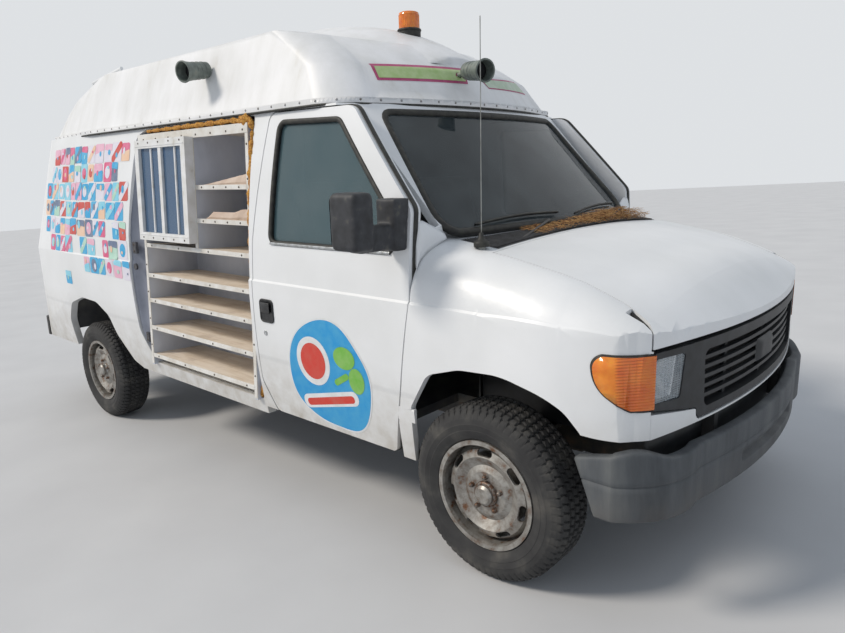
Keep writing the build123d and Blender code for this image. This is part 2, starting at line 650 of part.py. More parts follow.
def roof_ring(z, half, rear_half, rear, front, bulge, inset):
    """Plan outline of the roof cap at one height: bowed front, tapered sides, rounded corners."""
    half -= inset
    rear_half -= inset
    rear += inset
    front -= inset
    rf = ROOF_FRONT_RADIUS - inset
    rr = ROOF_REAR_RADIUS - inset
    k = 0.293
    edges = [ThreePointArc((front, rf - half), (front + bulge, 0), (front, half - rf))]
    edges.append(Line((rear, rr - rear_half), (rear, rear_half - rr)))
    for s in (1, -1):
        edges.append(Line((TAPER_START_X, s * half), (front - rf, s * half)))
        edges.append(Line((rear + rr, s * rear_half), (TAPER_START_X, s * half)))
        edges.append(ThreePointArc((front, s * (half - rf)), (front - rf * k, s * (half - rf * k)),
                                   (front - rf, s * half)))
        edges.append(ThreePointArc((rear, s * (rear_half - rr)), (rear + rr * k, s * (rear_half - rr * k)),
                                   (rear + rr, s * rear_half)))
    return Plane.XY.offset(z) * make_face(edges)


def roof_body(t):
    """The cap's form, smaller by t all round: walls, top line in side view, and crown across."""
    walls = loft([roof_ring(*row, t) for row in ROOF_RINGS], ruled=True)
    top_line = xz_prism([
        (-300, 1800, 1), (-300, 2050 - t, 1), (-900, 2190 - t, 160), (-1700, 2318 - t, 700),
        (-3300, 2312 - t, 1200), (-4600, 2120 - t, 1), (-4600, 1800, 1),
    ], -BEYOND_SIDE, BEYOND_SIDE)
    crown_z = ROOF_TOP_Z + 12 - ROOF_CROWN_RADIUS - t
    crown = Pos(-2500, 0, crown_z) * Rot(0, 90, 0) * Cylinder(ROOF_CROWN_RADIUS, 5000)
    return walls & top_line & crown


hump_face = make_face([
    ThreePointArc((-2350, 800), (-1620, 905), (-840, 640)),
    Polyline((-840, 640), (-840, 0), (-2350, 0), (-2350, 800)),
])
hump = Pos(0, 0, HUMP_AXIS_Z) * revolve(Plane.XZ * hump_face, Axis.X, 360)
hump &= box(-2600, -700, -420, 420, 2100, 2600)
band_outer = roof_ring(*ROOF_RINGS[0], -ROOF_BAND_OUT)
band_inner = roof_ring(*ROOF_RINGS[0], ROOF_SHELL)
band = extrude(band_outer, ROOF_BAND_HEIGHT) - extrude(band_inner, 60)
keep("high_roof", roof_body(0) + hump - roof_body(ROOF_SHELL) + band)

# Running gear, drawn on the ground with x from the front axle
AXLE_Z = TYRE_RADIUS


def tipped(x, z):
    """Body point to ground point."""
    a = radians(RAKE)
    dz = z - RAKE_PIVOT_Z
    return x * cos(a) + dz * sin(a), RAKE_PIVOT_Z - x * sin(a) + dz * cos(a)


def level(x, z):
    """Ground point to body point."""
    a = radians(RAKE)
    dz = z - RAKE_PIVOT_Z
    return x * cos(a) - dz * sin(a), RAKE_PIVOT_Z + x * sin(a) + dz * cos(a)


def tyre_solid():
    """Tyre as one ring: straight bead seat, bulged sidewalls, bevelled shoulders, flat tread."""
    h = TYRE_WIDTH / 2
    b = RIM_HALF_WIDTH
    right = [(TYRE_RADIUS, h - 34), (TYRE_RADIUS - 16, h - 20), (287, h), (RIM_LIP_RADIUS + 3, b), (RIM_RADIUS, b)]
    edges = [Line((TYRE_RADIUS, 34 - h), (TYRE_RADIUS, h - 34)), Line((RIM_RADIUS, -b), (RIM_RADIUS, b))]
    for s in (1, -1):
        p = [(r, s * y) for r, y in right]
        edges.append(Line(p[0], p[1]))
        edges.append(ThreePointArc(p[1], p[2], p[3]))
        edges.append(Line(p[3], p[4]))
    return revolve(make_face(edges), Axis.Y, 360)


def rim_solid():
    """Pressed steel wheel, outboard face towards +Y, with its hub and brake drum."""
    inner = RIM_RADIUS - 8
    seat = RIM_RADIUS - SEAT_GAP
    b = RIM_HALF_WIDTH + SEAT_GAP
    rings = [
        [(seat, -b), (RIM_LIP_RADIUS, -b), (RIM_LIP_RADIUS, -97), (inner + 3, -97), (inner, -84), (inner, 84),
         (inner + 3, 98), (RIM_LIP_RADIUS, 98), (RIM_LIP_RADIUS, b), (seat, b)],
        [(HUB_RADIUS - 22, 74), (88, 74), (112, 62), (150, 84), (178, 72), (inner, 34), (inner, 22), (174, 62),
         (150, 74), (112, 52), (88, 64), (HUB_RADIUS - 22, 64)],
        [(26, -20), (HUB_RADIUS, -20), (HUB_RADIUS, 63.9), (HUB_RADIUS - 22, 63.9), (HUB_RADIUS - 22, 96),
         (30, 104), (0, 104), (0, 92), (26, 88)],
        [(HUB_RADIUS - 2, -20), (150, -20), (150, 20), (138, 20), (138, -8), (HUB_RADIUS - 2, -8)],
    ]
    barrel, disc, hub, drum = [revolve(make_face(Polyline(*r, close=True)), Axis.Y, 360) for r in rings]
    wheel = barrel + disc
    slot = Plane.XZ.offset(-110) * (Pos(0, 166) * SlotOverall(70, 25))
    for i in range(WHEEL_SLOTS):
        wheel -= Rot(0, 360 / WHEEL_SLOTS * i, 0) * extrude(slot, 90)
    return wheel + hub + drum


TYRE = tyre_solid()
RIM = rim_solid()
WHEELS = [
    ("front_right", 0, -FRONT_HALF_TRACK),
    ("front_left", 0, FRONT_HALF_TRACK),
    ("rear_right", -WHEELBASE, -REAR_HALF_TRACK),
    ("rear_left", -WHEELBASE, REAR_HALF_TRACK),
]
for name, x, y in WHEELS:
    place = Pos(x, y, AXLE_Z) * Rot(0, 0, 180 if y < 0 else 0)
    keep("rim_" + name, place * RIM, False)
    keep("tyre_" + name, place * TYRE, False)

# Steering knuckles on upright pins
for side, name in SIDES:
    pin_y = side * KINGPIN_Y
    knuckle = rod((0, pin_y, AXLE_Z - 95), (0, pin_y, AXLE_Z + 95), KINGPIN_RADIUS)
    knuckle += side_box(side, -30, 30, KINGPIN_Y - 24, KINGPIN_Y + 40, AXLE_Z - 55, AXLE_Z + 55)
    knuckle += rod((0, pin_y, AXLE_Z), (0, side * (FRONT_HALF_TRACK + HUB_REACH), AXLE_Z), SPINDLE_RADIUS)
    knuckle += side_box(side, -190, -20, KINGPIN_Y - 12, KINGPIN_Y + 10, AXLE_Z - 52, AXLE_Z - 34)
    keep("knuckle_" + name, knuckle, False)

# Front axle: two crossing beams, each with a yoke round its pin and a spring above
BEAM_OFFSET = 42
front_axle = None
for side, name in SIDES:
    x = side * BEAM_OFFSET
    beam = side_box(side, x - 32, x + 32, -330, KINGPIN_Y - 52, AXLE_Z - 30, AXLE_Z + 34)
    for inner, outer in ((-33, -9), (9, 33)):
        beam -= side_box(side, x + inner, x + outer, -280, KINGPIN_Y - 110, AXLE_Z - 20, AXLE_Z + 24)
    yoke = side_box(side, -36, 36, KINGPIN_Y - 80, KINGPIN_Y + 26, AXLE_Z - 84, AXLE_Z + 84)
    yoke -= side_box(side, -40, 40, KINGPIN_Y - 52, KINGPIN_Y + 60, AXLE_Z - 60, AXLE_Z + 60)
    pin_hole = KINGPIN_RADIUS + SEAT_GAP
    yoke -= rod((0, side * KINGPIN_Y, AXLE_Z - 100), (0, side * KINGPIN_Y, AXLE_Z + 100), pin_hole)
    root = side_box(side, min(-36, x - 32), max(36, x + 32), KINGPIN_Y - 100, KINGPIN_Y - 52, AXLE_Z - 30,
                    AXLE_Z + 34)
    link = beam + yoke + root
    link += side_box(side, x - 26, x + 26, -326, -274, AXLE_Z + 30, 444.5)
    link += rod((0, side * 530, AXLE_Z + 30), (0, side * 530, 500), 52)
    link += side_box(side, -60, 60, 462, 590, 494, 512)
    front_axle = link if front_axle is None else front_axle + link
keep("front_axle", front_axle, False)

# Rear axle with its leaf springs
rear_x, rear_z = level(-WHEELBASE, AXLE_Z)
tube_end = REAR_HALF_TRACK - 70
stub_end = REAR_HALF_TRACK + HUB_REACH
rear_axle = rod((rear_x, -tube_end, rear_z), (rear_x, tube_end, rear_z), 40)
rear_axle += rod((rear_x, -stub_end, rear_z), (rear_x, stub_end, rear_z), SPINDLE_RADIUS)
rear_axle += Pos(rear_x, 0, rear_z) * Sphere(145)
leaf_z = rear_z + 52
leaf_rear, leaf_front = rear_x - LEAF_HALF_SPAN, rear_x + LEAF_HALF_SPAN
leaf_face = make_face([
    ThreePointArc((leaf_rear, 420), (rear_x, leaf_z), (leaf_front, 400)),
    ThreePointArc((leaf_rear, 436), (rear_x, leaf_z + 40), (leaf_front, 416)),
    Line((leaf_rear, 420), (leaf_rear, 436)),
    Line((leaf_front, 400), (leaf_front, 416)),
])
for side, name in SIDES:
    span = sorted((side * LEAF_Y - 32, side * LEAF_Y + 32))
    rear_axle += extrude(Plane.XZ.offset(-span[1]) * leaf_face, 64)
    rear_axle += box(rear_x - 60, rear_x + 60, *span, rear_z + 20, leaf_z + 10)
    for end in (leaf_rear, leaf_front):
        rear_axle += side_box(side, end - 20, end + 20, 470, 532, 398, 470)
        rear_axle += side_box(side, end - 20, end + 20, 462, 480, 398, 510)
keep("rear_axle", rear_axle)

# Cab fittings
dash = xz_prism([(-340, 880, 20), (-340, 1200, 20), (-520, 1190, 60), (-640, 1120, 60), (-600, 900, 40)], -880, 880)
keep("dashboard", dash - box(-941, -300, -264, 264, 800, 986))
STEERING_HUB = (-760, 430, 1130)
STEERING_DIRECTION = (-0.62, 0, 0.78)
wheel_plane = Plane(origin=STEERING_HUB, z_dir=STEERING_DIRECTION)
steering = wheel_plane * Torus(180, 15)
steering += wheel_plane * (Pos(0, 0, -30) * Cylinder(50, 40))
for turn in (90, 210, 330):
    steering += wheel_plane * (Rot(0, 0, turn) * (Pos(95, 0, -14) * Box(160, 30, 14)))
steering += rod((-741, 430, 1107), (-560, 430, 880), 24)
keep("steering_wheel", steering)
CUSHION = [(-1310, 800, 40), (-1310, 960, 60), (-800, 990, 70), (-800, 840, 50)]
BACKREST = [(-1310, 940, 30), (-1450, 1560, 50), (-1320, 1580, 60), (-1180, 940, 30)]
seats = None
for side, name in SIDES:
    seat = side_box(side, -1250, -850, SEAT_Y - 180, SEAT_Y + 190, FLOOR_Z, 810)
    seat += xz_prism(CUSHION, *sorted((side * (SEAT_Y - 205), side * (SEAT_Y + 250))))
    seat += xz_prism(BACKREST, *sorted((side * (SEAT_Y - 200), side * (SEAT_Y + 240))))
    seats = seat if seats is None else seats + seat
keep("seats", seats)

# Shelves in the side opening, leaning in with the body side, and the serving window before them
LEAN = Pos(0, SHELF_FACE_Y, SHELF_LOW_Z) * Rot(-SHELF_LEAN, 0, 0) * Pos(0, -SHELF_FACE_Y, -SHELF_LOW_Z)
SHELF_BACK_Y = SHELF_FACE_Y + SHELF_DEPTH
# Boards: rear end x, front end x, top z
SHELF_ROWS = [
    (SHELF_LEFT_X, SHELF_RIGHT_X, 506),
    (SHELF_LEFT_X, SHELF_RIGHT_X, 684),
    (SHELF_LEFT_X, SHELF_RIGHT_X, 856),
    (SHELF_LEFT_X, SHELF_RIGHT_X, 1012),
    (SHELF_LEFT_X, SHELF_MIDDLE_X, 1196),
    (SHELF_MIDDLE_X, SHELF_RIGHT_X, 1196),
    (SHELF_MIDDLE_X, SHELF_RIGHT_X, 1360),
    (SHELF_MIDDLE_X, SHELF_RIGHT_X, 1540),
    (SHELF_LEFT_X, SHELF_MIDDLE_X, SHELF_HIGH_Z),
    (SHELF_MIDDLE_X, SHELF_RIGHT_X, SHELF_HIGH_Z),
]
half_post = SHELF_POST / 2
back = box(SHELF_LEFT_X - half_post, SHELF_RIGHT_X + half_post, SHELF_BACK_Y, SHELF_BACK_Y + 12, 430, SHELF_HIGH_Z)
keep("shelf_back", LEAN * back)
boards = None
for x0, x1, z in SHELF_ROWS:
    board = box(x0 + half_post, x1 - half_post, SHELF_FACE_Y, SHELF_BACK_Y, z - SHELF_BOARD, z)
    boards = board if boards is None else boards + board
keep("shelf_boards", LEAN * boards)
posts = box(SHELF_LEFT_X - half_post, SHELF_LEFT_X + half_post, SHELF_FACE_Y, SHELF_BACK_Y, STEP_Z - 8, SHELF_HIGH_Z)
posts += box(SHELF_RIGHT_X - half_post, SHELF_RIGHT_X + half_post, SHELF_FACE_Y, SHELF_BACK_Y, STEP_Z - 8,
             SHELF_HIGH_Z)
posts += box(SHELF_MIDDLE_X - half_post, SHELF_MIDDLE_X + half_post, SHELF_FACE_Y, SHELF_BACK_Y,
             1196 - SHELF_BOARD, SHELF_HIGH_Z)
keep("shelf_posts", LEAN * posts)
WINDOW_FRONT_Y = SHELF_FACE_Y - WINDOW_DEPTH
WINDOW_RIGHT_X = SHELF_MIDDLE_X + half_post
window_middle_x = (WINDOW_LEFT_X + WINDOW_RIGHT_X) / 2
pane_low_z = WINDOW_LOW_Z + WINDOW_BORDER
pane_high_z = WINDOW_HIGH_Z - WINDOW_BORDER
serving_frame = box(WINDOW_LEFT_X, WINDOW_RIGHT_X, WINDOW_FRONT_Y, SHELF_FACE_Y, WINDOW_LOW_Z, WINDOW_HIGH_Z)
serving_frame -= box(WINDOW_LEFT_X + WINDOW_BORDER, WINDOW_RIGHT_X - WINDOW_BORDER, WINDOW_FRONT_Y - 10,
                     SHELF_FACE_Y + 10, pane_low_z, pane_high_z)
serving_frame += box(window_middle_x - 16, window_middle_x + 16, WINDOW_FRONT_Y + 4, WINDOW_FRONT_Y + 34,
                     pane_low_z, pane_high_z)
keep("serving_frame", LEAN * serving_frame)
pane_y = WINDOW_FRONT_Y + 18
panes = box(WINDOW_LEFT_X + WINDOW_BORDER, window_middle_x - 16, pane_y, pane_y + GLASS_THICKNESS, pane_low_z,
            pane_high_z)
panes += box(window_middle_x + 16, WINDOW_RIGHT_X - WINDOW_BORDER, pane_y, pane_y + GLASS_THICKNESS, pane_low_z,
             pane_high_z)
keep("serving_glass", LEAN * panes)

# Roof fittings
keep("beacon_base", rod((-1196, 0, 2280), (-1196, 0, 2335), 62))
keep("beacon_lens", rod((-1196, 0, 2335), (-1196, 0, 2415), 55))
HORN_PROFILE = [(0, 0), (42, 0), (44, 84), (52, 156), (48, 156), (40, 84), (30, 12), (0, 12)]
horn = revolve(Plane.XZ * make_face(Polyline(*HORN_PROFILE, close=True)), Axis.Z, 360)
# Horns: node, back of the horn, which way it points, foot of its bracket inside the roof
HORNS = [
    ("roof_horn", (-712, -114, 2056), (152, -54, -18), (-830, -100, 2030)),
    ("side_horn", (-1936, -812, 2141), (26, -148, -23), (-1940, -740, 2120)),
]
for name, back_point, direction, foot in HORNS:
    keep(name, Plane(origin=back_point, z_dir=direction) * horn + rod(foot, back_point, 13))
roof_bar = rod((-3724, -640, 2200), (-3724, -640, 2268), 9) + rod((-3270, -640, 2240), (-3270, -640, 2318), 9)
keep("roof_bar", roof_bar + rod((-3733, -640, 2266), (-3261, -640, 2316), 11))
mast_foot = (-134, -790, 1300)
antenna = rod((-134, -790, 1240), mast_foot, 15)
keep("antenna", antenna + rod(mast_foot, (-130, -790, 2125), 1.8))
wipers = rod((-110, -560, 1290), (-200, -180, 1345), 7) + rod((-110, 160, 1290), (-200, 540, 1345), 7)
keep("wipers", wipers)

# Right door mirror: head folded along the door, arm, and foot on the door's skin
mirror = box(-490, -345, -MIRROR_OUT_Y, -1150, 1300, 1515)
mirror = fillet(mirror.edges(), 22)
mirror += fillet(box(-446, -366, -1210, -1020, 1290, 1388).edges(), 14)
mirror += box(-452, -348, -1046, -940, 1284, 1484) - OUTER
keep("mirror_right", mirror)

# Exhaust under the right of the floor, with its silencer and a hanger
exhaust = rod((-700, -300, 360), (-2700, -300, 360), 32) + rod((-2700, -300, 360), (-3250, -300, 345), 32)
exhaust += box(-2500, -1900, -390, -210, 290, 425)
exhaust += box(-2510, -2490, -306, -294, 385, 446)
keep("exhaust", exhaust)

# Pieces that stand in another, as (piece that is cut, piece that stands in it)
SEATED = [
    ("fender_right", "corner_lamps"),
    ("fender_left", "corner_lamps"),
    ("fender_right", "antenna"),
    ("cowl", "antenna"),
    ("cowl", "wipers"),
    ("high_roof", "beacon_base"),
    ("high_roof", "roof_bar"),
    ("high_roof", "roof_horn"),
    ("high_roof", "side_horn"),
    ("dashboard", "steering_wheel"),
    ("body_side_right", "shelf_posts"),
    ("body_side_right", "shelf_boards"),
    ("floor", "shelf_posts"),
    ("floor", "shelf_back"),
    ("body_side_right", "floor"),
    ("body_side_left", "floor"),
    ("rear_frame", "rear_bumper"),
    ("rear_frame", "chassis_frame"),
    ("fender_left", "cowl"),
    ("fender_right", "cowl"),
    ("chassis_frame", "front_axle"),
    ("front_bumper", "chassis_frame"),
    ("front_valance", "chassis_frame"),
    ("front_door_right", "mirror_right"),
]

TIP = Pos(0, 0, RAKE_PIVOT_Z) * Rot(0, RAKE, 0) * Pos(0, 0, -RAKE_PIVOT_Z)
for name, (shape, body_frame) in nodes.items():
    nodes[name] = TIP * shape if body_frame else shape
for host, guest in SEATED:
    nodes[host] = nodes[host] - nodes[guest]

# The origin is under the middle of the whole van's length and width, its one mirror included
front_reach = tipped(BUMPER_FACE_X, BUMPER_TOP_Z)[0]
rear_reach = tipped(REAR_BUMPER_X, REAR_BUMPER_TOP_Z - REAR_BUMPER_HEIGHT)[0]
FRONT_AXLE_X = -(front_reach + rear_reach) / 2
MIDDLE_PLANE_Y = (MIRROR_OUT_Y - BODY_HALF_WIDTH - BELLY_BULGE) / 2
PLACE = Pos(FRONT_AXLE_X, MIDDLE_PLANE_Y, 0)

# Write one file per node
for name, shape in nodes.items():
    export_step(PLACE * shape, "parts/" + name + ".step")
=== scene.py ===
import bmesh
import bpy
import numpy as np
from mathutils import Matrix


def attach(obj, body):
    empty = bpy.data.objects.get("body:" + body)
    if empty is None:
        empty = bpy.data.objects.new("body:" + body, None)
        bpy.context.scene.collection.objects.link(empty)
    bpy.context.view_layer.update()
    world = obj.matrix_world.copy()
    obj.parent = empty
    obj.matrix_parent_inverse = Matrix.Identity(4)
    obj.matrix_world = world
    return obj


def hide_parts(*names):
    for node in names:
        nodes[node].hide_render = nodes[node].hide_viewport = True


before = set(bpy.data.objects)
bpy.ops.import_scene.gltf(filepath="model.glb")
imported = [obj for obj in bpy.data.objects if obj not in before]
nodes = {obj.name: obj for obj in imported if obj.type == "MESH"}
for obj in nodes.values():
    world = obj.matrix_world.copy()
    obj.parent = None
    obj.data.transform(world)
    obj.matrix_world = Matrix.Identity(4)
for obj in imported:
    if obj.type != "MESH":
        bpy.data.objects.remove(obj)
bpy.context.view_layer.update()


# The camera stands ahead of the right front wheel at eye height, where the photograph was taken,
# and is turned a little about its own line of sight. The lens is a phone's main lens, 28 mm equivalent.
CAMERA_PLACE = (3.3692, -2.7467, 1.5339)
CAMERA_AZIMUTH, CAMERA_HEIGHT_ANGLE, CAMERA_ROLL = np.radians([42.277, 10.978, -3.469])

back = np.array([np.sin(CAMERA_AZIMUTH) * np.cos(CAMERA_HEIGHT_ANGLE),
                 -np.cos(CAMERA_AZIMUTH) * np.cos(CAMERA_HEIGHT_ANGLE), np.sin(CAMERA_HEIGHT_ANGLE)])
level_right = np.cross(-back, [0, 0, 1])
level_right /= np.linalg.norm(level_right)
level_up = np.cross(level_right, -back)
right = level_right * np.cos(CAMERA_ROLL) + level_up * np.sin(CAMERA_ROLL)
up = np.cross(back, right)
camera = bpy.data.objects.new("camera", bpy.data.cameras.new("camera"))
bpy.context.scene.collection.objects.link(camera)
turned = Matrix(np.column_stack([right, up, back]).tolist()).to_4x4()
camera.matrix_world = Matrix.Translation(CAMERA_PLACE) @ turned
camera.data.lens = 28.35
camera.data.sensor_width = 36
bpy.context.scene.camera = camera
bpy.context.scene.view_settings.view_transform = "Standard"


# A painter's studio: a pale sheet floor, a pale room, one large soft lamp high behind the van's right
# shoulder, where the sun stood, and the room's own light for the shaded front.
ROOM_LIGHT = 0.62
LAMP_POWER = 2.3
LAMP_FROM = (-0.52, -0.62, 0.72)
LAMP_SPREAD = np.radians(14)
LAMP_COLOUR, LIGHT_COLOUR, ROOM_COLOUR, FLOOR_COLOUR = "#FFF6EA", "#DDE6F2", "#E9ECEF", "#C9CACB"
ROOM_SHOWN = 0.9
FLOOR_HALF = 60


def linear(colour):
    """sRGB hex to linear red, green, blue and alpha."""
    c = np.array([int(colour[i:i + 2], 16) for i in (1, 3, 5)]) / 255
    return (*np.where(c <= 0.04045, c / 12.92, ((c + 0.055) / 1.055) ** 2.4), 1.0)


def add(tree, kind, settings, inputs, output=0):
    """Adds one shader node with its settings and links, and returns one of its outputs. An input is a value or a
    socket to link from; the setting `stops` holds a colour ramp's pairs of place (0 to 1) and sRGB hex."""
    node = tree.nodes.new("ShaderNode" + kind)
    stops = settings.pop("stops", None)
    for key, value in settings.items():
        setattr(node, key, value)
    if stops:
        band = node.color_ramp.elements
        while len(band) < len(stops):
            band.new(0.5)
        for element, (place, colour) in zip(band, stops):
            element.position = place
            element.color = linear(colour)
    for key, value in inputs.items():
        if isinstance(value, bpy.types.NodeSocket):
            tree.links.new(value, node.inputs[key])
        else:
            node.inputs[key].default_value = value
    return node.outputs[output] if node.outputs else None


world = bpy.data.worlds.new("studio room")
world.use_nodes = True
room = world.node_tree
room.nodes.clear()
ray = add(room, "LightPath", {}, {}).node.outputs
seen = add(room, "Math", {"operation": "MAXIMUM"}, {0: ray["Is Camera Ray"], 1: ray["Is Transmission Ray"]})
seen = add(room, "Math", {"operation": "MAXIMUM"}, {0: seen, 1: ray["Is Glossy Ray"]})
lit = add(room, "Background", {}, {"Color": linear(LIGHT_COLOUR), "Strength": ROOM_LIGHT})
shown = add(room, "Background", {}, {"Color": linear(ROOM_COLOUR), "Strength": ROOM_SHOWN})
add(room, "OutputWorld", {}, {"Surface": add(room, "MixShader", {}, {0: seen, 1: lit, 2: shown})})
bpy.context.scene.world = world

lamp = bpy.data.objects.new("soft lamp", bpy.data.lights.new("soft lamp", "SUN"))
lamp.data.energy = LAMP_POWER
lamp.data.angle = LAMP_SPREAD
lamp.data.color = linear(LAMP_COLOUR)[:3]
lamp.rotation_mode = "QUATERNION"
toward = np.array(LAMP_FROM) / np.linalg.norm(LAMP_FROM)
side = np.cross([0, 0, 1], toward)
side /= np.linalg.norm(side)
lamp.rotation_quaternion = Matrix(np.column_stack([side, np.cross(toward, side), toward]).tolist()).to_quaternion()
bpy.context.scene.collection.objects.link(lamp)


def material(name, colour, rough, metal=0.0):
    """A material with one Principled shader; returns it, its node tree and its shader."""
    made = bpy.data.materials.new(name)
    made.use_nodes = True
    tree = made.node_tree
    shader = tree.nodes["Principled BSDF"]
    shader.inputs["Base Color"].default_value = linear(colour)
    shader.inputs["Roughness"].default_value = rough
    shader.inputs["Metallic"].default_value = metal
    return made, tree, shader


def build(name, points, faces, finish, smooth=True):
    """A mesh object at the origin from points in metres and faces by index."""
    mesh = bpy.data.meshes.new(name)
    mesh.from_pydata(np.asarray(points, float).reshape(-1, 3).tolist(), [], np.asarray(faces).tolist())
    mesh.polygons.foreach_set("use_smooth", [smooth] * len(mesh.polygons))
    mesh.materials.append(finish)
    piece = bpy.data.objects.new(name, mesh)
    bpy.context.scene.collection.objects.link(piece)
    return piece


def object_noise(tree, scale, detail=4.0, rough=0.5, stretch=(1, 1, 1)):
    """Noise in the frame's own metres: scale is lumps per metre, stretch flattens them by axis."""
    place = add(tree, "Mapping", {}, {"Vector": add(tree, "TexCoord", {}, {}, "Object"), "Scale": stretch})
    return add(tree, "TexNoise", {}, {"Vector": place, "Scale": scale, "Detail": detail, "Roughness": rough}, "Fac")


def surface(shader, colour, height=None, strength=0.5, depth=0.001):
    """Links a colour to the shader, and a height as a bump; depth is its real height in metres."""
    tree = shader.id_data
    if colour is not None:
        tree.links.new(colour, shader.inputs["Base Color"])
    if height is not None:
        relief = add(tree, "Bump", {}, {"Height": height, "Strength": strength, "Distance": depth})
        tree.links.new(relief, shader.inputs["Normal"])


def mottled(name, colour, rough, metal, noise, stops, grain=None):
    """A material whose colour runs through the stops by noise, and whose surface a finer noise roughens: the
    grain's lumps per metre, detail, strength and depth."""
    made, tree, shader = material(name, colour, rough, metal)
    tones = add(tree, "ValToRGB", {"stops": stops}, {0: object_noise(tree, *noise)})
    surface(shader, tones, *((object_noise(tree, *grain[:2]), *grain[2:]) if grain else ()))
    return made


# Sealed concrete: pale, dull and nearly even, so that only the van's shadow shows on it.
concrete = mottled("sealed pale concrete", FLOOR_COLOUR, 0.7, 0.0, (1.3, 6.0), [(0, "#BFC0C2"), (1, "#D3D4D5")])
corners = [(x * FLOOR_HALF, y * FLOOR_HALF, 0) for x, y in ((-1, -1), (1, -1), (1, 1), (-1, 1))]
floor = build("studio_floor", corners, [(0, 1, 2, 3)], concrete)


# Chassis, axles, knuckles, engine and tank: pressed and cast steel under black chassis paint, which road
# dust has turned brown-grey from below and which has rusted through at the edges.
def dress(finish, *names):
    """Gives CAD nodes a finish in place of the plain one they were packed with."""
    for name in names:
        nodes[name].data.materials.clear()
        nodes[name].data.materials.append(finish)


# Chassis paint under road dust: a dull black with brown-grey patches and a sandy grain 5 mm wide.
chassis_paint = mottled("dusty black chassis paint", "#26262A", 0.6, 0.0, (14,),
                        [(0.35, "#1F2023"), (0.55, "#38352F"), (0.72, "#5A4636")], (220, 4.0, 0.5, 0.0008))
dress(chassis_paint, "chassis_frame", "front_axle", "rear_axle", "knuckle_right", "knuckle_left", "engine_block",
      "fuel_tank")

# Scaled steel: a half-metallic grey that has gone rust-brown in patches about 3 cm wide.
scaled_steel = mottled("rust-browned exhaust steel", "#6B5B4E", 0.55, 0.6, (30,),
                       [(0.3, "#8A837A"), (0.5, "#6E5443"), (0.7, "#4A3326")])
dress(scaled_steel, "exhaust")


# Tyres: 225/75 R16 all-terrain, black rubber cured in a mould: blocks in five rows parted by zigzag
# grooves, lugs over the shoulder, and plain ribbed sidewalls, grey with dust.
TYRE_RADIUS, TYRE_HALF, BEAD_RADIUS, BEAD_HALF = 0.354, 0.111, 0.2075, 0.088
TREAD_HALF, GROOVE_DEPTH, PITCHES = 0.084, 0.0085, 66
AXLE_X, MIDDLE_Y, WHEELBASE, FRONT_HALF_TRACK, REAR_HALF_TRACK = 1.90638, 0.124, 3.505, 0.881, 0.850
WHEELS = {"front_right": (AXLE_X, MIDDLE_Y - FRONT_HALF_TRACK), "front_left": (AXLE_X, MIDDLE_Y + FRONT_HALF_TRACK),
          "rear_right": (AXLE_X - WHEELBASE, MIDDLE_Y - REAR_HALF_TRACK),
          "rear_left": (AXLE_X - WHEELBASE, MIDDLE_Y + REAR_HALF_TRACK)}
SIDEWALL = [(BEAD_RADIUS, BEAD_HALF), (0.222, BEAD_HALF + 0.001), (0.228, 0.096), (0.250, 0.105), (0.262, 0.1085),
            (0.265, 0.1075), (0.287, TYRE_HALF), (0.291, 0.1095), (0.310, 0.107), (0.325, 0.100), (0.338, 0.0925)]
GROOVE_LINES, ZIGZAG = (-0.050, -0.018, 0.018, 0.050), 0.014
BLOCK_ROW, ROW_SHIFT, BLOCK_SLANT = 0.0328, 0.37, 9
LUG_DEPTH, LUG_LOW, LUG_HIGH = 0.0035, 0.30, 0.335


def grid_faces(rows, columns, wrap_rows=False, wrap_columns=False):
    """Quads between neighbouring points of a grid, numbered row by row; a wrapped side meets its start."""
    i = np.arange(rows if wrap_rows else rows - 1)
    j = np.arange(columns if wrap_columns else columns - 1)
    i, j = np.meshgrid(i, j, indexing="ij")
    a, b = (i + 1) % rows, (j + 1) % columns
    return np.stack([i * columns + j, i * columns + b, a * columns + b, a * columns + j], -1).reshape(-1, 4)


def step(value, edge, width):
    """0 below the edge, 1 above it, with a slope of the given width between."""
    return np.clip((value - edge) / width + 0.5, 0, 1)


def tyre_points(flip):
    """Tyre skin as radius and offset along the axle over (turn, girth): the girth runs from bead to bead
    over sidewall, shoulder and tread, and the tread's grooves are cut by depth out of the radius."""
    turn = np.linspace(0, 2 * np.pi, PITCHES * 8, endpoint=False)[:, None]
    wall = np.array(SIDEWALL)
    across = np.linspace(-TREAD_HALF, TREAD_HALF, 57)
    crown = TYRE_RADIUS - 0.010 * np.clip((np.abs(across) - 0.068) / 0.016, 0, 1) ** 1.5
    radius = np.concatenate([wall[:, 0], crown, wall[::-1, 0]])
    offset = np.concatenate([-wall[:, 1], across, wall[::-1, 1]])
    radius, offset = np.broadcast_arrays(radius[None, :], offset[None, :])
    phase = turn * PITCHES / (2 * np.pi)
    zigzag = (np.abs((phase % 1) - 0.5) - 0.25) * ZIGZAG
    cut = np.zeros((len(turn), radius.shape[1]))
    for line in GROOVE_LINES:
        cut = np.maximum(cut, 1 - step(np.abs(offset - line - zigzag), 0.0040, 0.0025))
    row = np.floor((offset + 2.5 * BLOCK_ROW) / BLOCK_ROW)
    slant = offset * flip * BLOCK_SLANT
    cross = np.abs(((phase + row * ROW_SHIFT + slant) % 1) - 0.5) * 2 * np.pi * TYRE_RADIUS / PITCHES
    cut = np.maximum(cut, 1 - step(cross, 0.0038, 0.0025))
    cut *= step(radius, 0.3300, 0.006)
    lugs = LUG_DEPTH * (1 - step(cross, 0.0045, 0.002)) * ((radius > LUG_LOW) & (radius < LUG_HIGH))
    return turn, radius - GROOVE_DEPTH * cut - lugs, offset


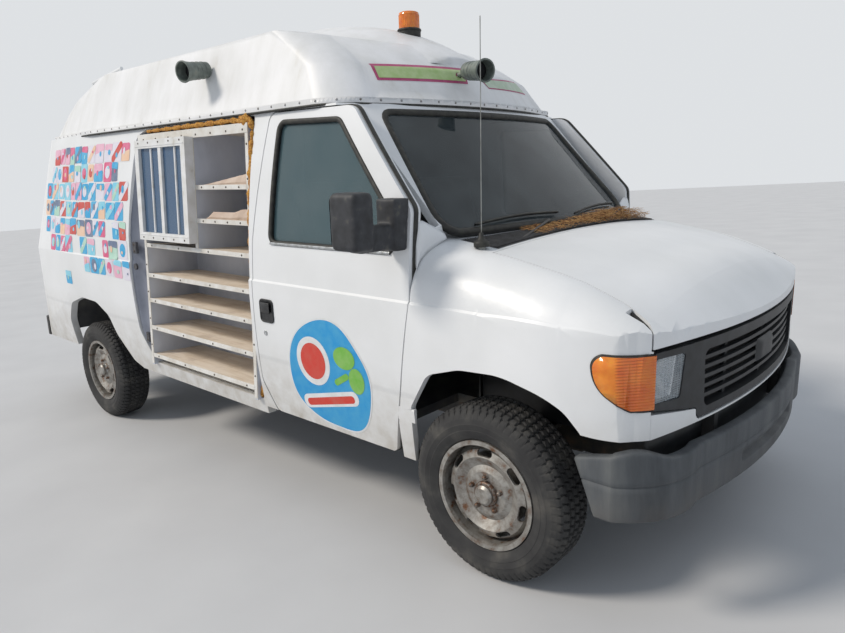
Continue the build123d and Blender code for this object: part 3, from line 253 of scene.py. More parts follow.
# Cured rubber: hardly any shine, near black, greyed by dust; its fine grain is drawn at 2 mm to show.
tyre_rubber = mottled("cured tyre rubber", "#2E2E30", 0.82, 0.0, (9, 6.0),
                      [(0.3, "#232325"), (0.55, "#353535"), (0.8, "#5B5853")], (500, 2.0, 0.35, 0.0005))
for name, (axle_x, axle_y) in WHEELS.items():
    outward = -1 if axle_y < MIDDLE_Y else 1
    turn, radius, offset = tyre_points(outward)
    points = np.stack(np.broadcast_arrays(axle_x + radius * np.cos(turn), axle_y + outward * offset,
                                          TYRE_RADIUS + radius * np.sin(turn)), -1)
    faces = grid_faces(points.shape[0], points.shape[1], wrap_rows=True)
    tyre = build("tyre_tread_" + name, points, faces if outward > 0 else faces[:, ::-1], tyre_rubber, False)
    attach(tyre, "wheel_" + name)
    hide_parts("tyre_" + name)


# Wheels: 16 inch pressed steel in silver paint, gone dull and rusted at the hub and in the slots, held by
# five domed nuts on a 139.7 mm circle; the front ones stand round a rusted hub ring.
# Old silver paint: a soft grey gleam, broken by brown rust in patches of a few centimetres.
wheel_steel = mottled("dull silver wheel paint", "#8F8D89", 0.42, 0.55, (26, 8.0, 0.65),
                      [(0.38, "#A3A19C"), (0.56, "#85807A"), (0.66, "#6E4F3A"), (0.8, "#4E3426")],
                      (160, 4.0, 0.3, 0.0006))
dress(wheel_steel, "rim_front_right", "rim_front_left", "rim_rear_right", "rim_rear_left")
NUT_PROFILE = [(0.0, 0.020), (0.005, 0.0195), (0.0085, 0.016), (0.0102, 0.012), (0.0105, 0.0), (0.0135, -0.001)]
HUB_PROFILE = [(0.053, -0.002), (0.053, 0.008), (0.049, 0.014), (0.038, 0.015), (0.034, 0.011), (0.033, 0.003),
               (0.020, 0.002), (0.0005, 0.002)]
NUT_CIRCLE, NUT_SEAT, NUTS, NUT_TURN = 0.06985, 0.0742, 5, 0.3


def lathe(profile, centre, axis, count):
    """Turned surface: (radius, height) points spun about the axis through centre, in `count` steps."""
    axis = np.array(axis, float) / np.linalg.norm(axis)
    aside = np.cross(axis, [0, 0, 1] if abs(axis[2]) < 0.9 else [1, 0, 0])
    aside /= np.linalg.norm(aside)
    across = np.cross(axis, aside)
    turn = np.linspace(0, 2 * np.pi, count, endpoint=False)[:, None, None]
    r, h = np.array(profile, float).T[:, None, :, None]
    points = np.array(centre, float) + r * (np.cos(turn) * aside + np.sin(turn) * across) + h * axis
    return points, grid_faces(count, len(profile), wrap_rows=True)


def joined(parts):
    """Several (points, faces) pairs as one: the faces of each are numbered on from the last."""
    points = [np.asarray(p, float).reshape(-1, 3) for p, f in parts]
    starts = np.cumsum([0] + [len(p) for p in points[:-1]])
    return np.concatenate(points), np.concatenate([np.asarray(f) + s for (p, f), s in zip(parts, starts)])


# Bare forged steel gone brown, with a little metal shine left in patches of 1 cm.
nut_steel = mottled("rusted nut steel", "#5B4B40", 0.5, 0.7, (90,), [(0.4, "#7B7671"), (0.6, "#5D4434")])
for name, (axle_x, axle_y) in WHEELS.items():
    outward = -1 if axle_y < MIDDLE_Y else 1
    nuts = []
    seat = np.array([axle_x, axle_y + outward * NUT_SEAT, TYRE_RADIUS])
    for turn in np.arange(NUTS) * 2 * np.pi / NUTS + NUT_TURN:
        centre = seat + NUT_CIRCLE * np.array([np.cos(turn), 0, np.sin(turn)])
        nuts.append(lathe(NUT_PROFILE, centre, (0, outward, 0), 12))
    if name.startswith("front"):
        nuts.append(lathe(HUB_PROFILE, seat, (0, outward, 0), 40))
    piece = build("wheel_nuts_" + name, *joined(nuts), nut_steel)
    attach(piece, "wheel_" + name)


# Body: pressed steel panels in white enamel, dulled by years in the sun, with a soft wave in each panel,
# a shallow swage pressed along the lower side, and road dirt thrown up along the sills.
RAKE, PIVOT_Z = np.radians(2.29), 0.372
SWAGE_Z, SWAGE_HALF = 0.688, 0.016


def placed(points):
    """Level body points (x from the front axle, y from the van's middle, z up) turned to the frame: the body
    is tipped nose down by the rake about the axle line and then moved."""
    x, y, z = np.moveaxis(np.asarray(points, float), -1, 0)
    z = z - PIVOT_Z
    return np.stack([x * np.cos(RAKE) + z * np.sin(RAKE) + AXLE_X, y + MIDDLE_Y,
                     PIVOT_Z - x * np.sin(RAKE) + z * np.cos(RAKE)], -1)


def coordinate(tree, axis):
    """One Object coordinate, in metres."""
    return add(tree, "SeparateXYZ", {}, {"Vector": add(tree, "TexCoord", {}, {}, "Object")}, axis)


def level_height(tree):
    """Height in the level body, its own z in metres: the Object coordinates turned back by the rake."""
    up = add(tree, "VectorMath", {"operation": "DOT_PRODUCT"},
             {0: add(tree, "TexCoord", {}, {}, "Object"), 1: (np.sin(RAKE), 0, np.cos(RAKE))}, "Value")
    shift = PIVOT_Z * (1 - np.cos(RAKE)) - AXLE_X * np.sin(RAKE)
    return add(tree, "Math", {"operation": "ADD"}, {0: up, 1: shift})


def dirt(tree, top, depth, strength):
    """How much road dirt lies at a point: full at `top - depth`, none above `top`, broken up by noise."""
    low = add(tree, "MapRange", {}, {0: level_height(tree), 1: top, 2: top - depth, 3: 0.0, 4: strength})
    broken = add(tree, "MapRange", {}, {0: object_noise(tree, 11, 7.0, 0.62), 1: 0.3, 2: 0.75, 3: 0.2, 4: 1.0})
    return add(tree, "Math", {"operation": "MULTIPLY"}, {0: low, 1: broken})


def patchy(tree, under, over, noise, low, high, most):
    """Colour `over` laid on `under` in patches, none where the noise is below `low` and `most` of it above `high`;
    returns that colour and the share of `over` in it."""
    share = add(tree, "MapRange", {}, {0: object_noise(tree, *noise), 1: low, 2: high, 3: 0.0, 4: most})
    return add(tree, "Mix", {"data_type": "RGBA"}, {0: share, 6: under, 7: linear(over)}, 2), share


# The insides of the front wheel housings and the brackets under the nose are painted near black as painted shade.
# Both are found by place: the housings by how far they lie from the van's middle and the front axle.
WELL_INSIDE_Y, WELL_X, WELL_HALF, WELL_TOP_Z = 0.943, AXLE_X + 0.02, 0.475, 0.93
BRACKETS_FROM_X, BRACKETS_BELOW_Z = 2.38, 0.693
white_enamel, tree, shader = material("sun-dulled white enamel", "#E6E8EA", 0.34)
shader.inputs["Coat Weight"].default_value = 0.22
shader.inputs["Coat Roughness"].default_value = 0.34
chalk = add(tree, "ValToRGB", {"stops": [(0.3, "#E9EBED"), (0.7, "#DFE1E2")]}, {0: object_noise(tree, 2.6, 5.0)})
scuffed = patchy(tree, chalk, "#B9B4A8", (34, 8.0, 0.7), 0.66, 0.76, 0.35)[0]
painted = add(tree, "Mix", {"data_type": "RGBA"},
              {0: dirt(tree, 0.80, 0.38, 0.75), 6: scuffed, 7: linear("#A39A8A")}, 2)
masks = [add(tree, "Math", {"operation": operation}, inputs) for operation, inputs in (
    ("COMPARE", {0: coordinate(tree, "Y"), 1: MIDDLE_Y, 2: WELL_INSIDE_Y}),
    ("COMPARE", {0: coordinate(tree, "X"), 1: WELL_X, 2: WELL_HALF}),
    ("LESS_THAN", {0: level_height(tree), 1: WELL_TOP_Z}),
    ("GREATER_THAN", {0: coordinate(tree, "X"), 1: BRACKETS_FROM_X}),
    ("LESS_THAN", {0: level_height(tree), 1: BRACKETS_BELOW_Z}))]
well_shade = add(tree, "Math", {"operation": "MULTIPLY"}, {0: masks[0], 1: masks[1]})
well_shade = add(tree, "Math", {"operation": "MULTIPLY"}, {0: well_shade, 1: masks[2]})
bracket_shade = add(tree, "Math", {"operation": "MULTIPLY"}, {0: masks[3], 1: masks[4]})
painted_shade = add(tree, "Math", {"operation": "MAXIMUM"}, {0: well_shade, 1: bracket_shade})
# Painted shade: near black in the wheel housings and on the brackets under the nose.
coloured = add(tree, "Mix", {"data_type": "RGBA"}, {0: painted_shade, 6: painted, 7: linear("#1A1B1D")}, 2)
dulled = add(tree, "ValToRGB", {"stops": [(0.3, "#9C9C9C"), (0.7, "#BCBCBC")]}, {0: object_noise(tree, 7, 5.0)})
tree.links.new(dulled, shader.inputs["Roughness"])
swage = add(tree, "MapRange", {"interpolation_type": "SMOOTHSTEP"},
            {0: level_height(tree), 1: SWAGE_Z - SWAGE_HALF, 2: SWAGE_Z + SWAGE_HALF, 3: 0.0, 4: 0.5})
waved = add(tree, "Math", {"operation": "ADD"}, {0: swage, 1: object_noise(tree, 2.2, 1.0)})
surface(shader, coloured, waved, 0.55, 0.012)
dress(white_enamel, "fender_right", "fender_left", "hood", "body_side_right", "body_side_left", "rear_frame",
      "front_valance", "front_door_right", "front_door_left", "rear_door_right", "rear_door_left", "cowl",
      "windscreen_frame")


# Glass: toughened panes, grey-green in the doors and darker in the laminated windscreen, each with a film of
# dust; what is inside is seen dimly through them.
def pane(name, colour, see_through, shine=0.7):
    """Glass as a thin dark film over what lies behind, with dust that dulls its shine in patches."""
    glass, tree, shader = material(name, colour, 0.06)
    shader.inputs["Alpha"].default_value = 1 - see_through
    shader.inputs["Specular IOR Level"].default_value = shine
    film = object_noise(tree, 5, 6.0)
    dulled = add(tree, "ValToRGB", {"stops": [(0.35, "#101010"), (0.75, "#3A3A3A")]}, {0: film})
    tree.links.new(dulled, shader.inputs["Roughness"])
    half = add(tree, "Math", {"operation": "MULTIPLY"}, {0: film, 1: 0.5})
    surface(shader, add(tree, "Mix", {"data_type": "RGBA"}, {0: half, 6: linear(colour), 7: linear("#7B8688")}, 2))
    return glass


# The door glass's grey-green is partly its tint and partly a painted reflection of the sky.
door_pane = pane("green door glass with dust and painted sky", "#3B5A62", 0.30)
screen_pane = pane("dusty laminated screen", "#0F1820", 0.38, 0.4)
dress(door_pane, "door_glass_right", "door_glass_left", "rear_glass_right", "rear_glass_left")
dress(screen_pane, "windscreen")


# Rubber round each pane and seam: extruded black weatherstrip, pressed on to the panel's edge, and bulb seals
# at the bottom of the gaps round the doors; the dark strip in the gap beside the hood is painted shade.
DOOR_WINDOW = [(-1.246, 1.268, 0.040), (-1.217, 1.822, 0.040), (-0.796, 1.809, 0.060), (-0.424, 1.389, 0.030),
               (-0.430, 1.268, 0.030)]
DOOR_EDGE = [(-1.309, 0.402, 0.040), (-1.393, 0.560, 0.090), (-1.384, 1.265, 0.300), (-1.290, 1.868, 0.050),
             (-0.719, 1.862, 0.090), (-0.340, 1.440, 0.060), (-0.338, 1.070, 0.060), (-0.403, 0.714, 0.300),
             (-0.469, 0.402, 0.030)]
LOWER_SIDE = ((0.954, 0.360), (1.000, 0.740), (1.005, 1.075))
UPPER_SIDE = ((0.997, 1.084), (0.959, 1.480), (0.882, 1.882))


def circle(a, b, c):
    """Centre and radius of the circle through three points of a plane."""
    (ax, ay), (bx, by), (cx, cy) = a, b, c
    d = 2 * (ax * (by - cy) + bx * (cy - ay) + cx * (ay - by))
    a2, b2, c2 = ax * ax + ay * ay, bx * bx + by * by, cx * cx + cy * cy
    x = (a2 * (by - cy) + b2 * (cy - ay) + c2 * (ay - by)) / d
    y = (a2 * (cx - bx) + b2 * (ax - cx) + c2 * (bx - ax)) / d
    return x, y, np.hypot(ax - x, ay - y)


def side_y(x, z):
    """Half width of the body at a place: a circular arc below the crease and one above it, no wider than the
    straight taper that starts 3.3 m behind the front axle and ends at the rear corner."""
    y0, z0, r0 = circle(*LOWER_SIDE)
    y1, z1, r1 = circle(*UPPER_SIDE)
    section = np.where(z < 1.0795, y0 + np.sqrt(r0 ** 2 - (z - z0) ** 2), y1 + np.sqrt(r1 ** 2 - (z - z1) ** 2))
    rise = np.clip((z - 1.075) / (1.890 - 1.075), 0, 1.2)
    wide, narrow, rear = 1.025 - 0.123 * rise, 0.968 - 0.150 * rise, -4.480 + 0.110 * rise
    return np.minimum(section, wide + (narrow - wide) * (x + 3.3) / (rear + 3.3))


def on_side(side, x, z, out):
    """Body points on one side's skin, `out` metres proud of it."""
    x, z = np.broadcast_arrays(np.asarray(x, float), np.asarray(z, float))
    return np.stack([x, side * (side_y(x, z) + out), z], -1)


def rounded(rows, pitch=0.012, closed=True):
    """Outline through rows of (across, up, corner radius) as points about `pitch` apart: each corner is an arc
    that touches both of its sides."""
    p = np.array([r[:2] for r in rows], float)
    out = []
    for i, row in enumerate(rows):
        if not closed and i in (0, len(rows) - 1):
            out.append(p[i:i + 1])
            continue
        before, after = p[i - 1] - p[i], p[(i + 1) % len(p)] - p[i]
        before, after = before / np.linalg.norm(before), after / np.linalg.norm(after)
        half = np.arccos(np.clip(before @ after, -1, 1)) / 2
        middle = (before + after) / np.linalg.norm(before + after)
        centre = p[i] + middle * row[2] / np.sin(half)
        start, end = p[i] + before * row[2] / np.tan(half), p[i] + after * row[2] / np.tan(half)
        a, b = start - centre, end - centre
        total = np.arccos(np.clip(a @ b / row[2] ** 2, -1, 1))
        t = np.linspace(0, 1, max(3, int(total * row[2] / pitch) + 3))[:, None]
        out.append(centre + (np.sin((1 - t) * total) * a + np.sin(t * total) * b) / np.sin(total))
    path = np.concatenate(out + ([out[0][:1]] if closed else []))
    run = np.concatenate([[0], np.cumsum(np.linalg.norm(np.diff(path, axis=0), axis=1))])
    even = np.linspace(0, run[-1], max(4, int(run[-1] / pitch) + 1))
    path = np.stack([np.interp(even, run, path[:, k]) for k in (0, 1)], -1)
    return path[:-1] if closed else path


def carried(path, normal, profile, closed):
    """A profile of (outward, sideways) points carried along a path: outward is the given normal at each point,
    and sideways is at right angles to it and to the path."""
    path, normal = np.asarray(path, float), np.broadcast_to(normal, path.shape)
    along = np.roll(path, -1, 0) - np.roll(path, 1, 0) if closed else np.gradient(path, axis=0)
    along = along / np.linalg.norm(along, axis=1, keepdims=True)
    outward = normal - (normal * along).sum(1, keepdims=True) * along
    outward = outward / np.linalg.norm(outward, axis=1, keepdims=True)
    across = np.cross(along, outward)
    u, v = np.array(profile, float).T[:, None, :, None]
    points = path[:, None] + u * outward[:, None] + v * across[:, None]
    return points, grid_faces(len(path), len(profile), wrap_rows=closed, wrap_columns=True)


def bar(width, height, low=0.0, corner=0.3):
    """Rounded strip profile: `width` across, standing from `low` to `height` outward."""
    w, c = width / 2, corner * min(width, height - low)
    return [(low, -w), (height - c, -w), (height, c - w), (height, w - c), (height - c, w), (low, w)]


# Extruded rubber: a soft low shine on near black, with dust in patches of 2 to 3 cm.
seal_rubber = mottled("black extruded weatherstrip", "#17181A", 0.62, 0.0, (40, 6.0),
                      [(0.35, "#131415"), (0.7, "#34342F")])
for side, name in ((-1, "right"), (1, "left")):
    x, z = rounded(DOOR_WINDOW).T
    frame_strip = carried(placed(on_side(side, x, z, -0.001)), (0, side, 0), bar(0.024, 0.006, -0.012), True)
    piece = build("door_glass_strip_" + name, *frame_strip, seal_rubber)
    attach(piece, "front_door_" + name)
    x, z = rounded([(a + (0.003 if a > -0.86 else -0.003), b + (0.003 if b > 1.1 else -0.003), r)
                    for a, b, r in DOOR_EDGE]).T
    bulb = carried(placed(on_side(side, x, z, -0.028)), (0, side, 0), bar(0.0052, 0.010, -0.012), True)
    piece = build("door_gap_seal_" + name, *bulb, seal_rubber)
    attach(piece, "root")


# Nose panels: hood, fenders and corner lamps are one sweep in sheet steel. The solids run straight from section
# to section; these skins follow the curve through the same sections, so the light runs over them unbroken. A
# dark rubber strip lies on the fender's flange at the bottom of the gap beside the hood, as painted shade in the
# gap.
NOSE_STATIONS = np.array([-0.336, 0.0, 0.330, 0.560, 0.740])
NOSE_WIDTHS = np.array([1.005, 1.005, 0.998, 0.930, 0.800])
NOSE_SEAMS = np.array([1.322, 1.261, 1.187, 1.090, 0.966])
NOSE_CROWNS = np.array([1.345, 1.297, 1.238, 1.168, 1.010])
NOSE_CUTS = np.arange(-0.32, 0.72, 0.02)
BULGE_TURN, BULGE_SPREAD, BULGE = 0.62, 0.46, 0.034
BULGE_REACH, BULGE_FADE = 0.62, 0.09
LOW_SIDE_Z = 0.80
HOOD_HALF = 0.800


def levelled(points):
    """Frame points turned back to the level body, the other way round from placed()."""
    x, y, z = np.moveaxis(np.asarray(points, float), -1, 0)
    x, z = x - AXLE_X, z - PIVOT_Z
    return np.stack([x * np.cos(RAKE) - z * np.sin(RAKE), y - MIDDLE_Y,
                     PIVOT_Z + x * np.sin(RAKE) + z * np.cos(RAKE)], -1)


def swept(x, values):
    """How far a cubic curve through the values at the nose's stations stands off the straight lines between
    them: its slope at a station is the one that a parabola through the neighbours has there."""
    slope = np.gradient(values, NOSE_STATIONS)
    i = np.clip(np.searchsorted(NOSE_STATIONS, x) - 1, 0, len(values) - 2)
    run, chord = NOSE_STATIONS[i + 1] - NOSE_STATIONS[i], values[i + 1] - values[i]
    t = np.clip((x - NOSE_STATIONS[i]) / run, 0, 1)
    return t * (1 - t) * ((1 - t) * (slope[i] * run - chord) - t * (slope[i + 1] * run - chord))


def nose_curve(points):
    """Level body points moved from the ruled nose to the swept one: sideways in proportion to the half width,
    fading out where the bowed face takes over, and upwards by the seam's and the crown's share. The front
    half of the wheel arch's edge moves out from the axle, where its curve is fuller than its corners."""
    x, y, z = np.moveaxis(points, -1, 0)
    seam = np.interp(x, NOSE_STATIONS, NOSE_SEAMS)
    wide = np.interp(x, NOSE_STATIONS, NOSE_WIDTHS)
    across = np.clip(np.abs(y) / np.minimum(HOOD_HALF, wide - 0.06), 0, 1)
    share = np.clip((z - LOW_SIDE_Z) / (seam - LOW_SIDE_Z), 0, 1)
    up = swept(x, NOSE_SEAMS) + (swept(x, NOSE_CROWNS) - swept(x, NOSE_SEAMS)) * (1 - across ** 2)
    out = swept(x, NOSE_WIDTHS) * np.clip(y / wide, -1, 1) * (1 - step(x, 0.60, 0.10))
    far, turn = np.hypot(x, z - PIVOT_Z), np.arctan2(x, z - PIVOT_Z)
    bulge = BULGE * np.cos(np.pi / 2 * np.clip((turn - BULGE_TURN) / BULGE_SPREAD, -1, 1)) ** 2
    bulge = bulge * np.clip((BULGE_REACH - far) / BULGE_FADE, 0, 1) * (np.abs(y) > 0.90)
    lift = up * share * share * (3 - 2 * share)
    return np.stack([x + bulge * np.sin(turn), y + out, z + lift + bulge * np.cos(turn)], -1)


def coordinates(mesh, what="co"):
    """A mesh's points, or another vector that it keeps for each of them, as rows."""
    flat = np.empty(len(mesh.vertices) * 3)
    mesh.vertices.foreach_get(what, flat)
    return flat.reshape(-1, 3)


def skin_of(name, angle, cuts=(), move=None):
    """A CAD node's own mesh as a new piece: doubles merged, cut across at level-body stations, its points moved
    by a function, and its normals averaged where faces meet at less than `angle` degrees."""
    shape = bmesh.new()
    shape.from_mesh(nodes[name].data)
    bmesh.ops.remove_doubles(shape, verts=shape.verts, dist=1e-5)
    for station in cuts:
        bmesh.ops.bisect_plane(shape, geom=shape.verts[:] + shape.edges[:] + shape.faces[:], dist=1e-6,
                               plane_co=placed([station, 0.0, 0.9]).tolist(),
                               plane_no=(np.cos(RAKE), 0, -np.sin(RAKE)))
    mesh = bpy.data.meshes.new(name + "_skin")
    shape.to_mesh(mesh)
    shape.free()
    if move:
        mesh.vertices.foreach_set("co", placed(move(levelled(coordinates(mesh)))).ravel())
    mesh.polygons.foreach_set("use_smooth", [True] * len(mesh.polygons))
    mesh.set_sharp_from_angle(angle=np.radians(angle))
    piece = bpy.data.objects.new(name + "_skin", mesh)
    bpy.context.scene.collection.objects.link(piece)
    mesh.materials.clear()
    mesh.materials.append(nodes[name].data.materials[0])
    even = piece.modifiers.new("normals by face area", "WEIGHTED_NORMAL")
    even.keep_sharp = True
    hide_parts(name)
    return piece


for name, body in (("hood", "hood"), ("fender_right", "root"), ("fender_left", "root")):
    piece = skin_of(name, 26, NOSE_CUTS, nose_curve)
    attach(piece, body)
# The dark strip in the hood's gap is painted shade.
x = np.concatenate([np.linspace(-0.060, 0.470, 24), np.linspace(0.480, 0.565, 6), [0.575, 0.585]])
y = np.interp(x, [-0.060, 0.480, 0.570, 0.600], [0.797, 0.797, 0.835, 0.862])
z = np.interp(x, NOSE_STATIONS, NOSE_SEAMS) - 0.009 - 0.10 * np.clip(y - 0.797, 0, 1)
for side, name in ((-1, "right"), (1, "left")):
    path = placed(nose_curve(np.stack([x, side * y, z], -1)))
    flange = carried(path, (0, 0, 1), bar(0.034, 0.001, -0.002, 0.2), False)
    piece = build("hood_seam_seal_" + name, *flange, seal_rubber)
    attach(piece, "root")


# Cowl corners: the folded end of the cowl panel, which closes the gap between fender, door edge and the foot of
# the windscreen pillar, in body colour.
LOW_CORNER = [(-0.330, 0.960, 1.200), (-0.328, 0.932, 1.238), (-0.320, 0.895, 1.268), (-0.308, 0.845, 1.294),
              (-0.300, 0.800, 1.314)]
HIGH_CORNER = [(-0.333, 0.958, 1.215), (-0.335, 0.950, 1.300), (-0.339, 0.930, 1.392), (-0.345, 0.895, 1.392),
               (-0.335, 0.800, 1.350)]
CORNER_SWELL = np.array([0.012, 0.004, 0.0])
BODY_SHEET = 0.0015


def thickened(piece, thickness):
    """Gives a sheet its thickness, inwards from its skin."""
    piece.modifiers.new("sheet thickness", "SOLIDIFY").thickness = thickness


for side, name in ((-1, "right"), (1, "left")):
    low, high = (np.stack([np.interp(np.linspace(0, 4, 25), np.arange(5), c) for c in np.array(row).T], -1)
                 for row in (LOW_CORNER, HIGH_CORNER))
    share = np.linspace(0, 1, 7)[:, None, None]
    points = placed((low * (1 - share) + high * share + CORNER_SWELL * np.sin(np.pi * share)) * (1, side, 1))
    corner = build("cowl_corner_" + name, points, grid_faces(7, 25)[:, ::-side], white_enamel)
    thickened(corner, BODY_SHEET)
    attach(corner, "root")


# Windscreen surround: a wide strip of extruded black rubber that beds the bowed glass in its frame and laps over
# the joint between the two.
def screen_x(y, z):
    """The bowed windscreen face: how far forward it is at a place, from its bow at the base and at the top."""
    rise = (z - 1.330) / 0.550
    end, middle = -0.388 - 0.542 * rise, -0.198 - 0.472 * rise
    return middle + (end - middle) * (y / 1.1) ** 2


SCREEN_EDGE = [(-0.806, 1.338, 0.070), (-0.700, 1.846, 0.060), (0.700, 1.846, 0.060), (0.806, 1.338, 0.070)]
y, z = rounded(SCREEN_EDGE, 0.02).T
slope = np.array([0.70, 0, 0.71])
strip = carried(placed(np.stack([screen_x(y, z), y, z], -1)), slope, bar(0.034, 0.006, -0.020), True)
piece = build("windscreen_strip", *strip, seal_rubber)
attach(piece, "root")


# Roof cap: one moulding of glass-fibre in white gelcoat, riveted through its flange to the old roof's gutter
# every hundred millimetres; rain has drawn grey streaks down it.
# Weathered gelcoat gives a broad dull gleam over the mould's slow waves.
gelcoat = mottled("chalky white gelcoat", "#E4E6E8", 0.42, 0.0, (5.5, 6.0, 0.6, (1, 1, 0.09)),
                  [(0.35, "#E9EAEC"), (0.62, "#DCDDDD"), (0.8, "#C6C4BD")], (3.5, 2.0, 0.5, 0.008))
dress(gelcoat, "high_roof")
piece = skin_of("high_roof", 34)
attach(piece, "root")
ROOF_HALF, ROOF_REAR_HALF, ROOF_REAR, ROOF_FRONT, ROOF_BOW = 0.886, 0.802, -4.370, -0.790, 0.122
ROOF_FRONT_RADIUS, ROOF_REAR_RADIUS, ROOF_TAPER = 0.190, 0.330, -3.300
FLANGE_Z, RIVET_PITCH = 1.8823, 0.105
CORNER_MIDDLE = 0.293  # how far in along both sides a quarter circle's middle lies, as a share of its radius


def arc(a, b, c, count):
    """Points along the circular arc from a through b to c."""
    x, y, r = circle(a, b, c)
    turn = np.unwrap([np.arctan2(p[1] - y, p[0] - x) for p in (a, b, c)])
    t = np.linspace(turn[0], turn[2], count)
    return np.stack([x + r * np.cos(t), y + r * np.sin(t)], -1)


def roof_edge(out, pitch):
    """Plan outline of the cap, `out` metres outside it, from the rear middle round the right side, the bowed
    front and the left side, as points `pitch` apart with their outward directions."""
    half, rear_half, rear, front = ROOF_HALF + out, ROOF_REAR_HALF + out, ROOF_REAR - out, ROOF_FRONT + out
    rf, rr, k = ROOF_FRONT_RADIUS + out, ROOF_REAR_RADIUS + out, CORNER_MIDDLE
    corner = arc((rear, rr - rear_half), (rear + rr * k, rr * k - rear_half), (rear + rr, -rear_half), 12)
    shoulder = arc((front - rf, -half), (front - rf * k, rf * k - half), (front, rf - half), 12)
    brow = arc((front, rf - half), (front + ROOF_BOW, 0), (front, half - rf), 40)
    half_way = np.concatenate([[(rear, 0.0)], corner, [(ROOF_TAPER, -half)], shoulder])
    path = np.concatenate([half_way, brow[1:-1], half_way[::-1] * (1, -1)])
    run = np.concatenate([[0], np.cumsum(np.linalg.norm(np.diff(path, axis=0), axis=1))])
    even = np.linspace(0, run[-1], int(run[-1] / pitch) + 1)
    path = np.stack([np.interp(even, run, path[:, i]) for i in (0, 1)], -1)[:-1]
    along = np.roll(path, -1, 0) - np.roll(path, 1, 0)
    outward = np.stack([along[:, 1], -along[:, 0]], -1)
    return path, outward / np.linalg.norm(outward, axis=1, keepdims=True)


DOME = [(0.0002, 0.0040), (0.0030, 0.0034), (0.0052, 0.0018), (0.0060, 0.0)]


def domes(path, outward, profile, count):
    """Small turned pieces standing on a path, each along its own outward direction."""
    return joined([lathe(profile, p, n, count) for p, n in zip(path, outward)])


# Weathered aluminium: small dull grey heads, browned on some.
rivet_metal = mottled("weathered aluminium rivet", "#8D8F91", 0.45, 0.8, (60,),
                      [(0.4, "#9B9DA0"), (0.7, "#6A6157")])
path, outward = roof_edge(0.0128, RIVET_PITCH)
path = np.column_stack([path, np.full(len(path), FLANGE_Z + 0.013)])
rivets = domes(placed(path), np.column_stack([outward, np.zeros(len(outward))]), DOME, 10)
piece = build("roof_rivets", *rivets, rivet_metal)
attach(piece, "root")

path, outward = roof_edge(0.006, 0.03)
path = np.column_stack([path, np.full(len(path), FLANGE_Z - 0.004)])
sealant = carried(placed(path), (0, 0, 1), bar(0.020, 0.004, -0.006), True)
piece = build("roof_flange_sealant", *sealant, seal_rubber)
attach(piece, "root")


# Front bumper: one deep moulding of black bumper plastic that the sun has bleached to a streaked grey, with a
# lower air slot and a fine pressed groove round it at half height; it is bolted to the two chassis rails.
BUMPER_FACE, BUMPER_HALF, BUMPER_LOW, BUMPER_WALL = 0.765, 0.972, 0.418, 0.044
ARM_END_X, ARM_RUN, ARM_POINTS = 0.40, 0.114, 9
# Bumper plastic after years of sun: no gleam, grey in upright streaks a decimetre apart, drawn darker as
# painted shade for the shaded front, with its moulded grain drawn at 1 mm.
bumper_plastic_in_shade, tree, shader = material("bleached bumper plastic in painted shade", "#5C5F62", 0.68)
streaks = add(tree, "ValToRGB", {"stops": [(0.3, "#3C4044"), (0.52, "#505458"), (0.75, "#666969")]},
              {0: object_noise(tree, 9, 7.0, 0.65, (1, 1, 0.16))})
dirty = add(tree, "Mix", {"data_type": "RGBA"},
            {0: dirt(tree, 0.56, 0.2, 0.7), 6: streaks, 7: linear("#67625C")}, 2)
surface(shader, dirty, object_noise(tree, 900, 2.0), 0.5, 0.0004)


def bumper_plan():
    """The bumper's plan line as (x, y) points from the right arm's front end round the face to the left arm's: a
    circular arc at each corner and a flatter one between them."""
    w, f = BUMPER_HALF, BUMPER_FACE
    corner = arc((f - 0.245, -w), (f - 0.130, 0.100 - w), (f - 0.074, 0.330 - w), 30)
    face = arc((f - 0.074, 0.330 - w), (f, 0), (f - 0.074, w - 0.330), 121)
    return np.concatenate([corner, face[1:-1], corner[::-1] * (1, -1)])


